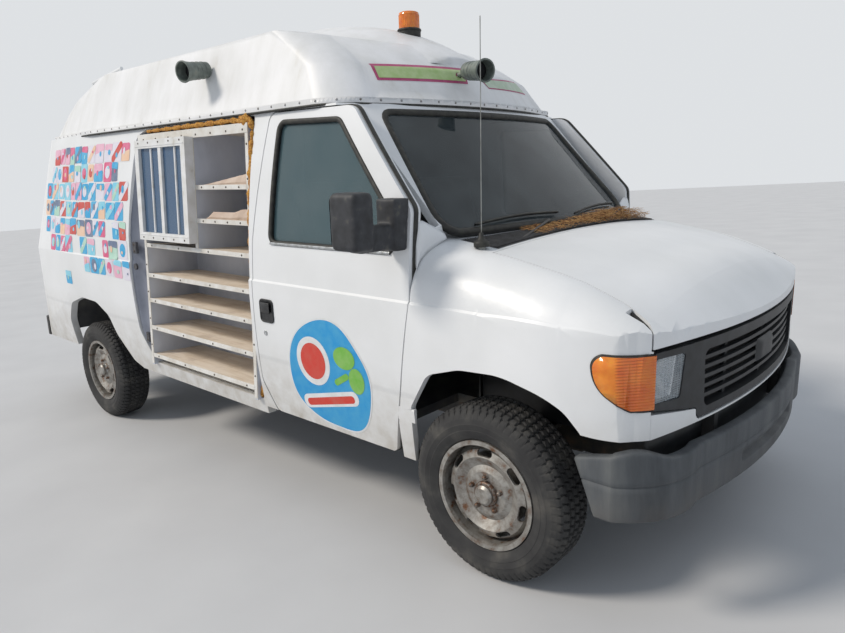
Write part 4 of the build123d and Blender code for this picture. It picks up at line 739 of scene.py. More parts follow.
def bumper_skin():
    """Bumper as a closed strip: rows run round the plan, columns go up the outer face, over the top, down the
    inside and back under. Height blends the lower edge and a top line that rises at the corners and falls along
    the arms; the arms' ends slope back; a groove and a slot are pressed in by their depth."""
    outer = [(0.010, 0.0), (0.003, 0.004), (0.0, 0.012), (0.0, 0.050), (0.0, 0.056), (0.0, 0.060), (0.0, 0.064),
             (0.0, 0.098), (0.0, 0.102), (0.0, 0.106), (0.0, 0.126), (0.0, 0.1285), (0.0, 0.1315), (0.0, 0.134),
             (0.0, 0.150)]
    upper = [(0.0, 0.80), (0.001, 0.90), (0.004, 0.97), (0.011, 1.0), (0.036, 1.0), (0.043, 0.96)]
    arm = np.linspace(ARM_END_X, ARM_END_X + ARM_RUN, ARM_POINTS)[:, None]
    line = np.concatenate([np.hstack([arm, 0 * arm - BUMPER_HALF]), bumper_plan(),
                           np.hstack([arm[::-1], 0 * arm + BUMPER_HALF])])
    along = np.gradient(line, axis=0)
    out = np.stack([along[:, 1], -along[:, 0]], -1)
    out /= np.linalg.norm(out, axis=1, keepdims=True)
    x, y = line[:, :1], line[:, 1:]
    rise = np.clip((np.abs(y) - 0.80) / 0.125, 0, 1)
    top = 0.636 + 0.036 * rise * rise * (3 - 2 * rise)
    fall = np.clip((0.575 - x) / 0.199, 0, 1.1) * (np.abs(y) > 0.9)
    top = top - 0.060 * fall
    low = np.full_like(top, BUMPER_LOW)
    height = np.concatenate([low + z for r, z in outer]
                            + [(low + 0.150) + (top - low - 0.150) * z for r, z in upper] + [low + 0.03, low], 1)
    depth = np.concatenate([np.full_like(low, r) for r, z in outer + upper]
                           + [low * 0 + BUMPER_WALL, low * 0 + BUMPER_WALL - 0.004], 1)
    slot = step(0.332 - np.abs(y), 0.0, 0.006) * (height > 0.4775) * (height < 0.5205) * (depth < 0.01)
    groove = (np.abs(height - 0.548) < 0.0018) * (depth < 0.01)
    depth = depth + 0.024 * slot + 0.003 * groove
    end_x = 0.378 + (0.630 - height) * 0.40
    is_arm = (np.arange(len(line)) < ARM_POINTS) | (np.arange(len(line)) >= len(line) - ARM_POINTS)
    share = (x - ARM_END_X) / ARM_RUN
    run_x = np.where(is_arm[:, None], end_x + share * (ARM_END_X + ARM_RUN - end_x), x)
    px = run_x - out[:, :1] * depth
    py = y - out[:, 1:] * depth
    return placed(np.stack([px, py, height], -1))


points = bumper_skin()
rows, columns = points.shape[:2]
last = (rows - 1) * columns
ends = [[0, k + 1, k, k] for k in range(1, columns - 1)]
ends += [[last, last + k, last + k + 1, last + k + 1] for k in range(1, columns - 1)]
faces = np.concatenate([grid_faces(rows, columns, wrap_columns=True), ends])
piece = build("bumper_moulding", points, faces, bumper_plastic_in_shade)
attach(piece, "root")
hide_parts("front_bumper")


# Grille: a black plastic moulding, dull and dusty, of bars inside a broad surround, clipped to the front panel.
# The badge pad in its middle is blank.
# Moulded black plastic: a low even shine, greyed by dust; its fine grain is drawn at 1.5 mm to show.
grille_plastic = mottled("dull black grille plastic", "#1B1D21", 0.5, 0.0, (18, 6.0),
                         [(0.35, "#16181B"), (0.62, "#24272B"), (0.8, "#3C3C3B")], (700, 2.0, 0.4, 0.0003))
dress(grille_plastic, "grille")


def face_x(y):
    """Bowed front of the van, a circular arc: how far forward its skin is at a place across."""
    x, z, r = circle((0.600, -0.856), (0.716, 0.0), (0.600, 0.856))
    return x + np.sqrt(r ** 2 - np.asarray(y) ** 2)


def face_patch(outline, inset, rings, dish):
    """Surface inside a front-view outline, as rings shrunk towards its middle: each lies `inset` metres behind the
    bowed face, and further by what `dish` gives for its share of the way in."""
    share = np.linspace(0, 1, rings)[:, None, None]
    middle = outline.mean(0)
    yz = outline[None] * (1 - share) + middle * share
    x = face_x(yz[..., 0]) - inset - dish(share[..., 0])
    return placed(np.concatenate([x[..., None], yz], -1)), grid_faces(rings, len(outline), wrap_columns=True)


pad = rounded([(-0.105, 0.800, 0.020), (-0.105, 0.894, 0.020), (0.105, 0.894, 0.020), (0.105, 0.800, 0.020)], 0.008)
points, faces = face_patch(pad, 0.004, 5, lambda s: -0.003 * (1 - (1 - s) ** 3) + 0.012 * (s < 0.01))
piece = build("blank_badge_pad", points, faces, grille_plastic)
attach(piece, "root")


# Radiator: a core of folded aluminium fins, painted black, bolted across the nose close behind the grille, where
# it hides the engine.
# Real fins stand 1.5 mm apart; these are drawn coarser, or they would not show.
def ribbed(tree, axis, turns):
    """Ribs across one Object coordinate: the sine of the place in metres times `turns` radians per metre."""
    angle = add(tree, "Math", {"operation": "MULTIPLY"}, {0: coordinate(tree, axis), 1: turns})
    return add(tree, "Math", {"operation": "SINE"}, {0: angle})


fin_black, tree, shader = material("black radiator fins", "#0E0F11", 0.7, 0.2)
fins = add(tree, "Math", {"operation": "ADD"}, {0: ribbed(tree, "Z", 520.0), 1: ribbed(tree, "Y", 1400.0)})
sooty = add(tree, "ValToRGB", {"stops": [(0.35, "#0B0C0E"), (0.7, "#1D1B18")]}, {0: object_noise(tree, 9, 5.0)})
surface(shader, sooty, fins, 0.6, 0.002)
y = np.linspace(-0.600, 0.600, 41)[:, None]
z = np.array([[0.712, 0.714, 0.985, 0.987]])
y, z = np.broadcast_arrays(y, z)
x = face_x(y) - np.where((z > 0.713) & (z < 0.986), 0.052, 0.070)
piece = build("radiator_core", placed(np.stack([x, y, z], -1)), grid_faces(41, 4), fin_black)
thickened(piece, 0.010)
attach(piece, "root")


# Lower closing panel: a sheet of black plastic, bowed with the face and clipped behind the gap between bumper
# and valance; its black is painted shade for that gap, and no light shows through there.
y = np.linspace(-0.800, 0.800, 61)[:, None]
z = np.array([[0.440, 0.500, 0.600, 0.716]])
y, z = np.broadcast_arrays(y, z)
x = face_x(y) - 0.062 - 0.04 * np.clip(0.6 - z, 0, 1)
piece = build("bumper_gap_shade_sheet", placed(np.stack([x, y, z], -1)), grid_faces(61, 4), grille_plastic)
thickened(piece, 0.002)
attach(piece, "root")


# Splash aprons: a sheet of black rubber on each side, from the chassis rail up along the wheel housing's inner
# edge, that keeps the road's water out of the engine bay; its black is also painted shade deep in the housing.
aprons = []
for side in (-1, 1):
    x, row = np.meshgrid([-0.322, 0.490], [0, 1, 2], indexing="ij")
    y, z = side * np.array([0.470, 0.535, 0.535])[row], np.array([0.520, 0.530, 0.896])[row]
    aprons.append((placed(np.stack([x, y, z], -1)), grid_faces(2, 3)))
piece = build("arch_shade_aprons", *joined(aprons), grille_plastic)
thickened(piece, 0.003)
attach(piece, "root")


# Headlamps: a pressed and silvered bowl with a bulb, behind a moulded lens of clear plastic whose inner side is
# fluted; each is screwed into the front panel beside the grille.
# Silvered steel: a near mirror that the pressed bowl's slight waves break up.
silvered, tree, shader = material("silvered lamp bowl", "#C8CCD0", 0.12, 1.0)
surface(shader, None, object_noise(tree, 60, 2.0), 0.25, 0.001)
# Clear moulded plastic, hazed by the sun: flutes 8 mm apart one way and 15 mm the other split the
# light from the bowl.
lens_clear, tree, shader = material("fluted clear lens", "#C9D2D8", 0.08)
shader.inputs["Alpha"].default_value = 0.42
shader.inputs["Coat Weight"].default_value = 0.6
flutes = add(tree, "Math", {"operation": "ADD"}, {0: ribbed(tree, "Z", 780.0), 1: ribbed(tree, "Y", 420.0)})
hazed = add(tree, "ValToRGB", {"stops": [(0.35, "#B8C3CB"), (0.7, "#DDE3E6")]}, {0: object_noise(tree, 22, 5.0)})
surface(shader, hazed, flutes, 0.6, 0.0012)
dress(lens_clear, "headlamps")
# Blown glass: clear, with a small sharp highlight.
glow_glass, tree, shader = material("bulb glass", "#EDEFEF", 0.05)
shader.inputs["Alpha"].default_value = 0.5
shader.inputs["Coat Weight"].default_value = 1.0
BULB_Y = 0.77
bowls, bulbs = [], []
for side in (-1, 1):
    hole = rounded([(side * 0.7145, 0.8148, 0.013), (side * 0.6930, 0.9630, 0.013), (side * 0.8412, 0.9668, 0.009),
                    (side * 0.8412, 0.8208, 0.009)], 0.009)
    points, faces = face_patch(hole, 0.034, 9, lambda s: 0.040 * np.sqrt(1 - (1 - s) ** 2))
    bowls.append((points, faces if side > 0 else faces[:, ::-1]))
    centre = placed([face_x(BULB_Y) - 0.074, side * BULB_Y, 0.890])
    bulbs.append(lathe([(0.007, 0.0), (0.0075, 0.016), (0.0055, 0.022), (0.0005, 0.025)], centre, (1, 0, 0), 12))
piece = build("headlamp_bowls", *joined(bowls), silvered)
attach(piece, "root")
piece = build("headlamp_bulbs", *joined(bulbs), glow_glass)
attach(piece, "root")


# Corner lamps: amber plastic, plain and curved on the side, ribbed across where they turn to the front, with a
# dark rubber edge against the fender.
# Amber acrylic: light spreads inside it, so it glows where it is thin; its front has ribs 10 mm apart.
amber_plastic, tree, shader = material("ribbed amber lens", "#E88A14", 0.16)
shader.inputs["Coat Weight"].default_value = 0.7
shader.inputs["Subsurface Weight"].default_value = 0.35
shader.inputs["Subsurface Radius"].default_value = (0.02, 0.008, 0.002)
turned = add(tree, "MapRange", {}, {0: coordinate(tree, "X"), 1: 2.440, 2: 2.452, 3: 0.0, 4: 1.0})
ribs = add(tree, "Math", {"operation": "MULTIPLY"}, {0: ribbed(tree, "Z", 620.0), 1: turned})
deep = add(tree, "ValToRGB", {"stops": [(0.35, "#F09A1C"), (0.55, "#E27A0E"), (0.75, "#B9560A")]},
           {0: object_noise(tree, 13, 3.0)})
redder = add(tree, "Math", {"operation": "MULTIPLY"}, {0: turned, 1: 0.55})
two_toned = add(tree, "Mix", {"data_type": "RGBA"}, {0: redder, 6: deep, 7: linear("#D8560C")}, 2)
surface(shader, two_toned, ribs, 0.8, 0.0016)
dress(amber_plastic, "corner_lamps")


def proud(points):
    """Lamp points on the swept nose, standing a little out of the fender to the side and the front."""
    return nose_curve(points) + (0.0015, 0, 0) + np.sign(points) * (0, 0.0022, 0)


def rimmed(points):
    """Lamp points grown by a rim's width upwards, downwards and to the rear of each lamp's middle."""
    x, y, z = points.T
    x = np.where(x < 0.51, 0.51 + (x - 0.51) * 1.10, x)
    z = 0.890 + (z - 0.890) * np.where(x < 0.60, 1.075, 1.0)
    return nose_curve(np.stack([x, y + np.sign(y) * 0.0008, z], -1))


piece = skin_of("corner_lamps", 35, (), proud)
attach(piece, "root")
piece = skin_of("corner_lamps", 35, (), rimmed)
piece.name = "corner_lamp_rims"
piece.data.materials[0] = seal_rubber
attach(piece, "root")


# Cowl grille: a moulded panel of black plastic with narrow slats, grey with dust, clipped in between hood and
# windscreen as the cab's air intake.
# Cowl plastic: duller than the grille's, and grey where dust lies in patches of 4 cm.
cowl_plastic = mottled("dusty cowl plastic", "#25282B", 0.6, 0.0, (24, 6.0),
                       [(0.3, "#1E2023"), (0.6, "#33353A"), (0.8, "#5A5850")])
COWL_HALF, SLAT_PITCH, SLAT_WIDTH = 0.745, 0.0135, 0.0062


def cowl_z(x, y):
    """Top of the cowl: a parabola across from the hood seam to the crown, rising towards the windscreen."""
    crown, seam = 1.297 - 0.1116 * x, 1.261 - 0.1419 * x
    return crown - (crown - seam) * (y / 0.8) ** 2


y = np.linspace(-COWL_HALF, COWL_HALF, 61)[:, None]
share = np.linspace(0, 1, 7)[None, :]
x = -0.086 + share * (screen_x(y, 1.322) + 0.004 + 0.086)
y = np.broadcast_to(y, x.shape)
tray = placed(np.stack([x, y, cowl_z(x, y) + 0.0015], -1)), grid_faces(61, 7)[:, ::-1]
lines = np.arange(-COWL_HALF + 0.012, COWL_HALF - 0.01, SLAT_PITCH)
length = np.linspace(0.06, 0.94, 9)
slats = []
for line in lines:
    x = -0.086 + length * (screen_x(line, 1.322) + 0.004 + 0.086)
    slats.append(carried(placed(np.stack([x, np.full(9, line), cowl_z(x, line)], -1)), (0, 0, 1),
                         [(0.001, -SLAT_WIDTH / 2), (0.0062, -SLAT_WIDTH / 2), (0.0062, SLAT_WIDTH / 2),
                          (0.001, SLAT_WIDTH / 2)], False))
piece = build("cowl_grille", *joined([tray] + slats), cowl_plastic, False)
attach(piece, "root")


# Pine needles: dry litter that the wind has swept into the cowl from the middle to the left, brown and straw
# coloured, lying on the slats and up against the glass.
# Dried needles: no shine, and each one of several browns, because the noise is finer than the heap.
dry_needles = mottled("dry pine needles", "#9A6A3C", 0.85, 0.0, (70, 3.0),
                      [(0.3, "#4E3020"), (0.44, "#8F5E36"), (0.58, "#C9A46C"), (0.72, "#7A4A2C")])
NEEDLES = 1300
random = np.random.default_rng(7)
y = np.clip(0.02 + 0.70 * random.beta(1.3, 1.1, NEEDLES) * random.choice([1, 1, 1, -0.60], NEEDLES), -0.70, 0.72)
rear = screen_x(y, 1.335) + 0.012
x = rear + (-0.085 - rear) * random.beta(0.9, 1.5, NEEDLES)
heap = 0.040 * np.clip((y + 0.30) / 0.6, 0.15, 1) * random.random(NEEDLES) ** 1.3
turn, tilt = random.uniform(0, np.pi, NEEDLES), random.normal(0.05, 0.16, NEEDLES)
along = np.stack([np.cos(turn) * np.cos(tilt) * 0.7, np.sin(turn) * np.cos(tilt), np.sin(tilt)], -1)
half = random.uniform(0.018, 0.042, NEEDLES)[:, None]
middle = np.stack([x, y, cowl_z(x, y) + 0.008 + heap], -1)
bend = np.stack([0 * x, 0 * x, random.uniform(0.0, 0.006, NEEDLES)], -1)
spine = np.stack([middle - along * half, middle + bend, middle + along * half], 1)
spine[..., 2] = np.maximum(spine[..., 2], cowl_z(spine[..., 0], spine[..., 1]) + 0.0075)
spine[..., 0] = np.maximum(spine[..., 0], screen_x(spine[..., 1], spine[..., 2]) + 0.004)
aside = np.cross(along, (0, 0, 1))
aside /= np.linalg.norm(aside, axis=1, keepdims=True)
thick = 0.00075
ring = np.stack([aside * thick, np.broadcast_to([0, 0, thick * 1.6], aside.shape), -aside * thick], 1)
points = spine[:, :, None] + ring[:, None]
faces = grid_faces(3, 3, wrap_columns=True)[None] + 9 * np.arange(NEEDLES)[:, None, None]
piece = build("pine_needle_litter", placed(points), faces.reshape(-1, 4), dry_needles)
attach(piece, "root")


# Wipers: two pressed arms in worn black paint, each on a cast knuckle, with a sprung rubber blade; they are parked
# low across the glass.
# Worn black paint on steel: a low shine that brown wear dulls in patches of 2 cm.
wiper_paint = mottled("worn black wiper paint", "#17181A", 0.45, 0.0, (50,),
                      [(0.4, "#141517"), (0.7, "#38352F")])
dress(wiper_paint, "wipers")
blades = []
for start, end in ((-0.640, -0.060), (0.080, 0.640)):
    y = np.linspace(start, end, 25)
    z = 1.352 + 0.012 * np.sin(np.linspace(0, np.pi, 25)) + 0.015 * np.linspace(0, 1, 25)
    path = placed(np.stack([screen_x(y, z), y, z], -1))
    blades.append(carried(path, slope, [(-0.001, -0.0008), (0.006, -0.0030), (0.013, -0.0045), (0.013, 0.0045),
                                        (0.006, 0.0030), (-0.001, 0.0008)], False))
piece = build("wiper_blades", *joined(blades), seal_rubber)
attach(piece, "root")


# Mirror: a shell moulded in black plastic on a swept arm that is screwed to the right door, its plain silvered
# glass facing back along the van. Voxels join the solid's head and arm, and smoothing rounds the edges.
dress(cowl_plastic, "mirror_right")
shell = skin_of("mirror_right", 60)
voxels = shell.modifiers.new("moulded in one", "REMESH")
voxels.mode = "VOXEL"
voxels.voxel_size = 0.005
voxels.use_smooth_shade = True
soften = shell.modifiers.new("rounded edges", "SMOOTH")
soften.factor = 0.5
soften.iterations = 22
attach(shell, "front_door_right")
# Silvered glass: a mirror, with waves too slight to bend what it shows.
mirror_silver, tree, shader = material("mirror glass", "#C3CBD0", 0.03, 1.0)
surface(shader, None, object_noise(tree, 8, 2.0), 0.15, 0.0005)
outline = rounded([(-1.244, 1.312, 0.020), (-1.244, 1.503, 0.020), (-1.161, 1.503, 0.020), (-1.161, 1.312, 0.020)],
                  0.01)
rings = np.stack([outline, outline * 0.02 + outline.mean(0) * 0.98])
rings = placed(np.concatenate([np.full_like(rings[..., :1], -0.4912), rings], -1))
piece = build("mirror_pane", rings, grid_faces(2, len(outline), wrap_columns=True), mirror_silver)
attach(piece, "front_door_right")


# Aerial: a whip of grey-coated spring wire, screwed into a moulded black rubber foot at the rear edge of the
# right fender.
# Coated wire: light grey with a faint gleam along its length.
whip_coat = mottled("grey whip coating", "#8C8E8C", 0.4, 0.3, (20,), [(0.4, "#9C9E9B"), (0.7, "#6F6E69")])
dress(whip_coat, "antenna")
foot = lathe([(0.030, -0.012), (0.031, 0.002), (0.029, 0.008), (0.020, 0.013), (0.012, 0.022), (0.0085, 0.040),
              (0.0040, 0.044), (0.0015, 0.0445)], placed([-0.134, -0.790, 1.3005]), (0, 0, 1), 28)
piece = build("aerial_foot", *foot, seal_rubber)
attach(piece, "root")


# Horns: two loudspeaker horns of spun aluminium in grey-green hammered paint, bolted to the roof cap, with
# pressed ribs, a rolled lip and dark dust felt in the mouth.
# Hammered paint: grey-green, its dents drawn at 2 mm so that the gleam breaks up.
horn_paint = mottled("grey-green horn paint", "#6D756F", 0.5, 0.0, (30, 6.0),
                     [(0.3, "#59605C"), (0.6, "#77807A"), (0.8, "#8C8B7F")], (450, 2.0, 0.5, 0.0008))
dress(horn_paint, "roof_horn", "side_horn")
# Felt: black without any shine, its fibres drawn at 1 mm.
mouth_felt, tree, shader = material("dark dust felt in the horn's mouth", "#16181C", 0.95)
surface(shader, None, object_noise(tree, 900, 2.0), 0.6, 0.0006)
HORNS = {"roof_horn": ((-0.712, -0.114, 2.056), (0.152, -0.054, -0.018)),
         "side_horn": ((-1.936, -0.812, 2.141), (0.026, -0.148, -0.023))}
for name, (start, toward) in HORNS.items():
    toward = np.array(toward) / np.linalg.norm(toward)
    tip = placed(np.array(start) + toward) - placed(start)
    ribs = [lathe([(r - 0.002, h - 0.004), (r + 0.0022, h - 0.003), (r + 0.0022, h + 0.003),
                   (r - 0.002, h + 0.004)], placed(start), tip, 36)
            for r, h in ((0.0425, 0.030), (0.0435, 0.060), (0.0440, 0.088))]
    lip = lathe([(0.0470, 0.150), (0.0545, 0.150), (0.0555, 0.1545), (0.0545, 0.159), (0.0475, 0.158)],
                placed(start), tip, 36)
    piece = build(name + "_ribs", *joined(ribs + [lip]), horn_paint)
    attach(piece, "root")
    felt = lathe([(0.0400, 0.098), (0.0405, 0.104), (0.0250, 0.108), (0.0005, 0.112)], placed(start), tip, 28)
    piece = build(name + "_felt", *felt, mouth_felt)
    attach(piece, "root")


# Beacon: a moulded orange lens with upright ribs inside a collar, on a black rubber base that is screwed down at
# the front of the roof's hump.
# Orange acrylic: light spreads inside it, under a hard clear gloss.
beacon_orange, tree, shader = material("ribbed orange beacon lens", "#E8781A", 0.15)
shader.inputs["Subsurface Weight"].default_value = 0.3
shader.inputs["Subsurface Radius"].default_value = (0.02, 0.008, 0.002)
shader.inputs["Coat Weight"].default_value = 0.7
sunned = add(tree, "ValToRGB", {"stops": [(0.35, "#F08A1E"), (0.7, "#D2600E")]}, {0: object_noise(tree, 26)})
surface(shader, sunned)
dress(beacon_orange, "beacon_lens")
dress(seal_rubber, "beacon_base")
BEACON_X, BEACON_LOW, BEACON_HIGH, BEACON_RADIUS = -1.196, 2.335, 2.415, 0.055
BEACON_RIBS = 36
ribs = []
for a in np.arange(BEACON_RIBS) * 2 * np.pi / BEACON_RIBS:
    x, y = BEACON_X + (BEACON_RADIUS - 0.0004) * np.cos(a), (BEACON_RADIUS - 0.0004) * np.sin(a)
    path = placed([[x, y, BEACON_LOW + 0.006], [x, y, BEACON_HIGH - 0.010]])
    ribs.append(carried(path, (np.cos(a), np.sin(a), 0.0), [(0, -0.0022), (0.0018, 0), (0, 0.0022)], False))
cap = lathe([(BEACON_RADIUS + 0.0012, -0.010), (BEACON_RADIUS - 0.001, 0.0015), (0.046, 0.006), (0.022, 0.010),
             (0.0005, 0.011)], placed([BEACON_X, 0.0, BEACON_HIGH]), (np.sin(RAKE), 0, np.cos(RAKE)), 48)
collar = lathe([(0.058, 0.000), (0.064, 0.001), (0.066, 0.008), (0.062, 0.014), (0.056, 0.015)],
               placed([BEACON_X, 0.0, BEACON_LOW - 0.014]), (np.sin(RAKE), 0, np.cos(RAKE)), 48)
piece = build("beacon_ribs", *joined(ribs + [cap]), beacon_orange)
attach(piece, "root")
piece = build("beacon_collar", *collar, seal_rubber)
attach(piece, "root")


# Roof rail: bent steel tube in the body's white enamel, on two short feet that are bolted to the right edge of
# the roof cap.
dress(white_enamel, "roof_bar")


# Roof signs: two printed vinyl panels stuck on the cap's brow, lime on magenta, faded by the sun. They are left
# blank.
def printed(name, colour, worn):
    """Self-adhesive printed vinyl: one ink, bleached in patches to its worn colour."""
    return mottled(name, colour, 0.45, 0.0, (17, 7.0, 0.6), [(0.35, colour), (0.75, worn)],
                   (160, 2.0, 0.2, 0.0004))


def sign_panel(corners, inset, rows=9, columns=41):
    """Flat grid between four corners given as (y, z) from bottom right round to top right, each side drawn in by
    `inset`: the place of a point is the blend of the corners by its two shares."""
    a, b, c, d = np.array(corners, float)
    u = np.linspace(0, 1, columns)[None, :, None]
    v = np.linspace(0, 1, rows)[:, None, None]
    width, height = np.linalg.norm(b - a), np.linalg.norm(d - a)
    u, v = inset / width + u * (1 - 2 * inset / width), inset / height + v * (1 - 2 * inset / height)
    yz = (a * (1 - u) + b * u) * (1 - v) + (d * (1 - u) + c * u) * v
    return placed(np.concatenate([np.full_like(yz[..., :1], -0.5), yz], -1)), grid_faces(rows, columns)


def laid_on(piece, node, axis, offset):
    """Lays a flat piece on a CAD node's skin: its points travel along one frame axis until they meet the node."""
    wrap = piece.modifiers.new("laid on the skin", "SHRINKWRAP")
    wrap.target = nodes[node]
    wrap.wrap_method = "PROJECT"
    wrap.use_negative_direction = True
    wrap.use_positive_direction = False
    setattr(wrap, "use_project_" + axis, True)
    wrap.offset = offset


magenta = printed("faded magenta vinyl", "#A3245F", "#B8557F")
lime = printed("faded lime vinyl", "#9DBB74", "#BFD19E")
pale_green = printed("bleached green vinyl", "#A9BFA4", "#C9D3C6")
SIGNS = [("right", [(-0.612, 2.005), (-0.071, 2.010), (-0.032, 2.100), (-0.600, 2.088)], magenta, lime, 0.013),
         ("left", [(0.098, 1.998), (0.630, 2.012), (0.560, 2.085), (0.060, 2.050)], magenta, pale_green, 0.007)]
for name, corners, edge_ink, field_ink, edge in SIGNS:
    for kind, ink, inset, offset in (("sign_edge_", edge_ink, 0.0, 0.0012),
                                     ("sign_field_", field_ink, edge, 0.0022)):
        piece = build(kind + name, *sign_panel(corners, inset), ink)
        laid_on(piece, "high_roof", "x", offset)
        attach(piece, "root")


# Shelf unit: birch plywood boards, drawn pale as painted light and stained in patches, in a case of grey sheet
# with white painted front strips, each screwed on; the whole unit leans in with the van's side.
LEAN, LEAN_Y, LEAN_Z = np.radians(3.15), -0.985, 0.487
SHELF_LEFT, SHELF_MIDDLE, SHELF_RIGHT, SHELF_TOP, STEP_Z = -2.575, -1.975, -1.462, 1.838, 0.442
BOARD, STRIP_OUT = 0.018, 0.004
SHELF_ROWS = [(SHELF_LEFT, SHELF_RIGHT, top) for top in (0.506, 0.684, 0.856, 1.012, 1.196)]
SHELF_ROWS += [(SHELF_MIDDLE, SHELF_RIGHT, top) for top in (1.360, 1.540)]


def leaning(points):
    """Points of the upright shelf unit tipped about its lower front edge, then placed with the body."""
    x, y, z = np.moveaxis(np.asarray(points, float), -1, 0)
    u, v = y - LEAN_Y, z - LEAN_Z
    return placed(np.stack([x, LEAN_Y + u * np.cos(LEAN) + v * np.sin(LEAN),
                            LEAN_Z - u * np.sin(LEAN) + v * np.cos(LEAN)], -1))


# Birch veneer: a long pale grain along each shelf, under grey-brown stains a hand wide; the tones are drawn paler
# than the wood as painted light inside the unit.
plywood, tree, shader = material("birch plywood in painted light", "#CDB79E", 0.6)
grain = object_noise(tree, 9, 8.0, 0.62, (0.35, 2.6, 1))
SUNLIT_TONES = [(0.3, "#F0E7DA"), (0.5, "#E6DACA"), (0.66, "#D6C6B2"), (0.8, "#B39F8A")]
sunlit_tone = add(tree, "ValToRGB", {"stops": SUNLIT_TONES}, {0: grain})
stained = patchy(tree, sunlit_tone, "#B8A898", (5, 7.0, 0.65), 0.52, 0.74, 0.6)[0]
surface(shader, stained, grain, 0.25, 0.0008)
dress(plywood, "shelf_boards")
# Coated sheet: blue-grey with a soft shine, drawn paler as painted light inside the unit, cloudy in patches of 3
# dm, slightly dented.
sunlit_lining = mottled("lining sheet, pale, with painted light", "#8F97A3", 0.45, 0.0, (3.2, 8.0, 0.6, (1, 1, 0.5)),
                       [(0.3, "#D2D7E0"), (0.5, "#C4CAD6"), (0.66, "#B4BAC6"), (0.82, "#989BA2")],
                       (6, 3.0, 0.3, 0.004))
dress(sunlit_lining, "shelf_back", "shelf_posts")
# The same lining sheet on the jambs, drawn a darker blue-grey as painted shade, cloudy in patches of 2 to 3 dm.
shaded_lining = mottled("lining sheet, darker, with painted shade", "#848A97", 0.5, 0.0, (4, 8.0, 0.62),
                     [(0.3, "#8E93A1"), (0.55, "#7F8491"), (0.8, "#5F6067")], (5, 3.0, 0.3, 0.004))
# Brushed white paint: half dull, chipped to brown in spots about 1 cm wide.
strip_paint, tree, shader = material("chipped white strip paint", "#DDDCD8", 0.5)
paint_tone = add(tree, "ValToRGB", {"stops": [(0.35, "#E2E1DD"), (0.7, "#CBC6BC")]},
                 {0: object_noise(tree, 12, 6.0)})
chipped, chips = patchy(tree, paint_tone, "#8C7A6B", (95, 6.0, 0.7), 0.62, 0.68, 0.8)
surface(shader, chipped, chips, 0.3, 0.0006)


def strip(x0, x1, z0, z1):
    """A flat strip on the unit's front as an eased bar: its middle line carried along its longer way."""
    if x1 - x0 > z1 - z0:
        line, width = [(x0, (z0 + z1) / 2), (x1, (z0 + z1) / 2)], z1 - z0
    else:
        line, width = [((x0 + x1) / 2, z0), ((x0 + x1) / 2, z1)], x1 - x0
    x, z = np.array(line, float).T
    path = leaning(np.stack([x, np.full(2, LEAN_Y), z], -1))
    return closed_bar(path, front, bar(width, STRIP_OUT, -0.0005, 0.2))


def closed_bar(path, normal, profile):
    """A straight bar between two points, closed by a face at each end."""
    points, faces = carried(path, normal, profile, False)
    n = len(profile)
    flat = points.reshape(-1, 3)
    middle = np.stack([flat[:n].mean(0), flat[n:].mean(0)])
    ends = np.concatenate([np.stack([np.full(n, 2 * n), (np.arange(n) + 1) % n, np.arange(n), np.arange(n)], -1),
                           np.stack([np.full(n, 2 * n + 1), n + np.arange(n), n + (np.arange(n) + 1) % n,
                                     n + (np.arange(n) + 1) % n], -1)])
    return np.concatenate([flat, middle]), np.concatenate([faces, ends])


front = leaning([0, LEAN_Y - 1, 0]) - leaning([0, LEAN_Y, 0])
strips, screws = [], []
for x0, x1, top in SHELF_ROWS:
    strips.append(strip(x0 + 0.006, x1 - 0.006, top - BOARD - 0.004, top + 0.003))
    screws += [(x, top - 0.010) for x in np.linspace(x0 + 0.08, x1 - 0.08, 4)]
strips.append(strip(SHELF_LEFT - 0.012, SHELF_RIGHT + 0.012, SHELF_TOP - 0.046, SHELF_TOP + 0.001))
screws += [(x, SHELF_TOP - 0.030) for x in np.linspace(SHELF_LEFT + 0.06, SHELF_RIGHT - 0.03, 8)]
for x, low in ((SHELF_LEFT, STEP_Z), (SHELF_RIGHT, STEP_Z), (SHELF_MIDDLE, 1.196)):
    strips.append(strip(x - 0.013, x + 0.013, low, SHELF_TOP - 0.047))
    screws += [(x, z) for z in np.arange(low + 0.12, SHELF_TOP - 0.06, 0.168)]
piece = build("shelf_front_strips", *joined(strips), strip_paint, False)
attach(piece, "root")
x, z = np.array(screws).T
heads = leaning(np.stack([x, np.full(len(x), LEAN_Y - STRIP_OUT + 0.0003), z], -1))
# Plated screw steel going rusty: dark heads with little gleam.
screw_steel = mottled("rusting screw heads", "#4C4640", 0.5, 0.6, (40,), [(0.4, "#57514B"), (0.65, "#43301F")])
piece = build("shelf_screws", *domes(heads, [front] * len(heads), DOME, 8), screw_steel)
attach(piece, "root")


# Shelf wedges: folded paperboard in dull beige, bent by hand and lying loose on the two short upper shelves, where
# the front edge leans back.
# Paperboard: no shine, soft beige, with shallow creases 4 cm apart.
paperboard = mottled("creased beige paperboard", "#C9B7A8", 0.75, 0.0, (10, 7.0),
                     [(0.3, "#D3C3B5"), (0.6, "#C0AC9C"), (0.8, "#A89484")], (26, 4.0, 0.4, 0.002))


WEDGE_DEPTH, WEDGE_COLUMNS = 0.17, 24


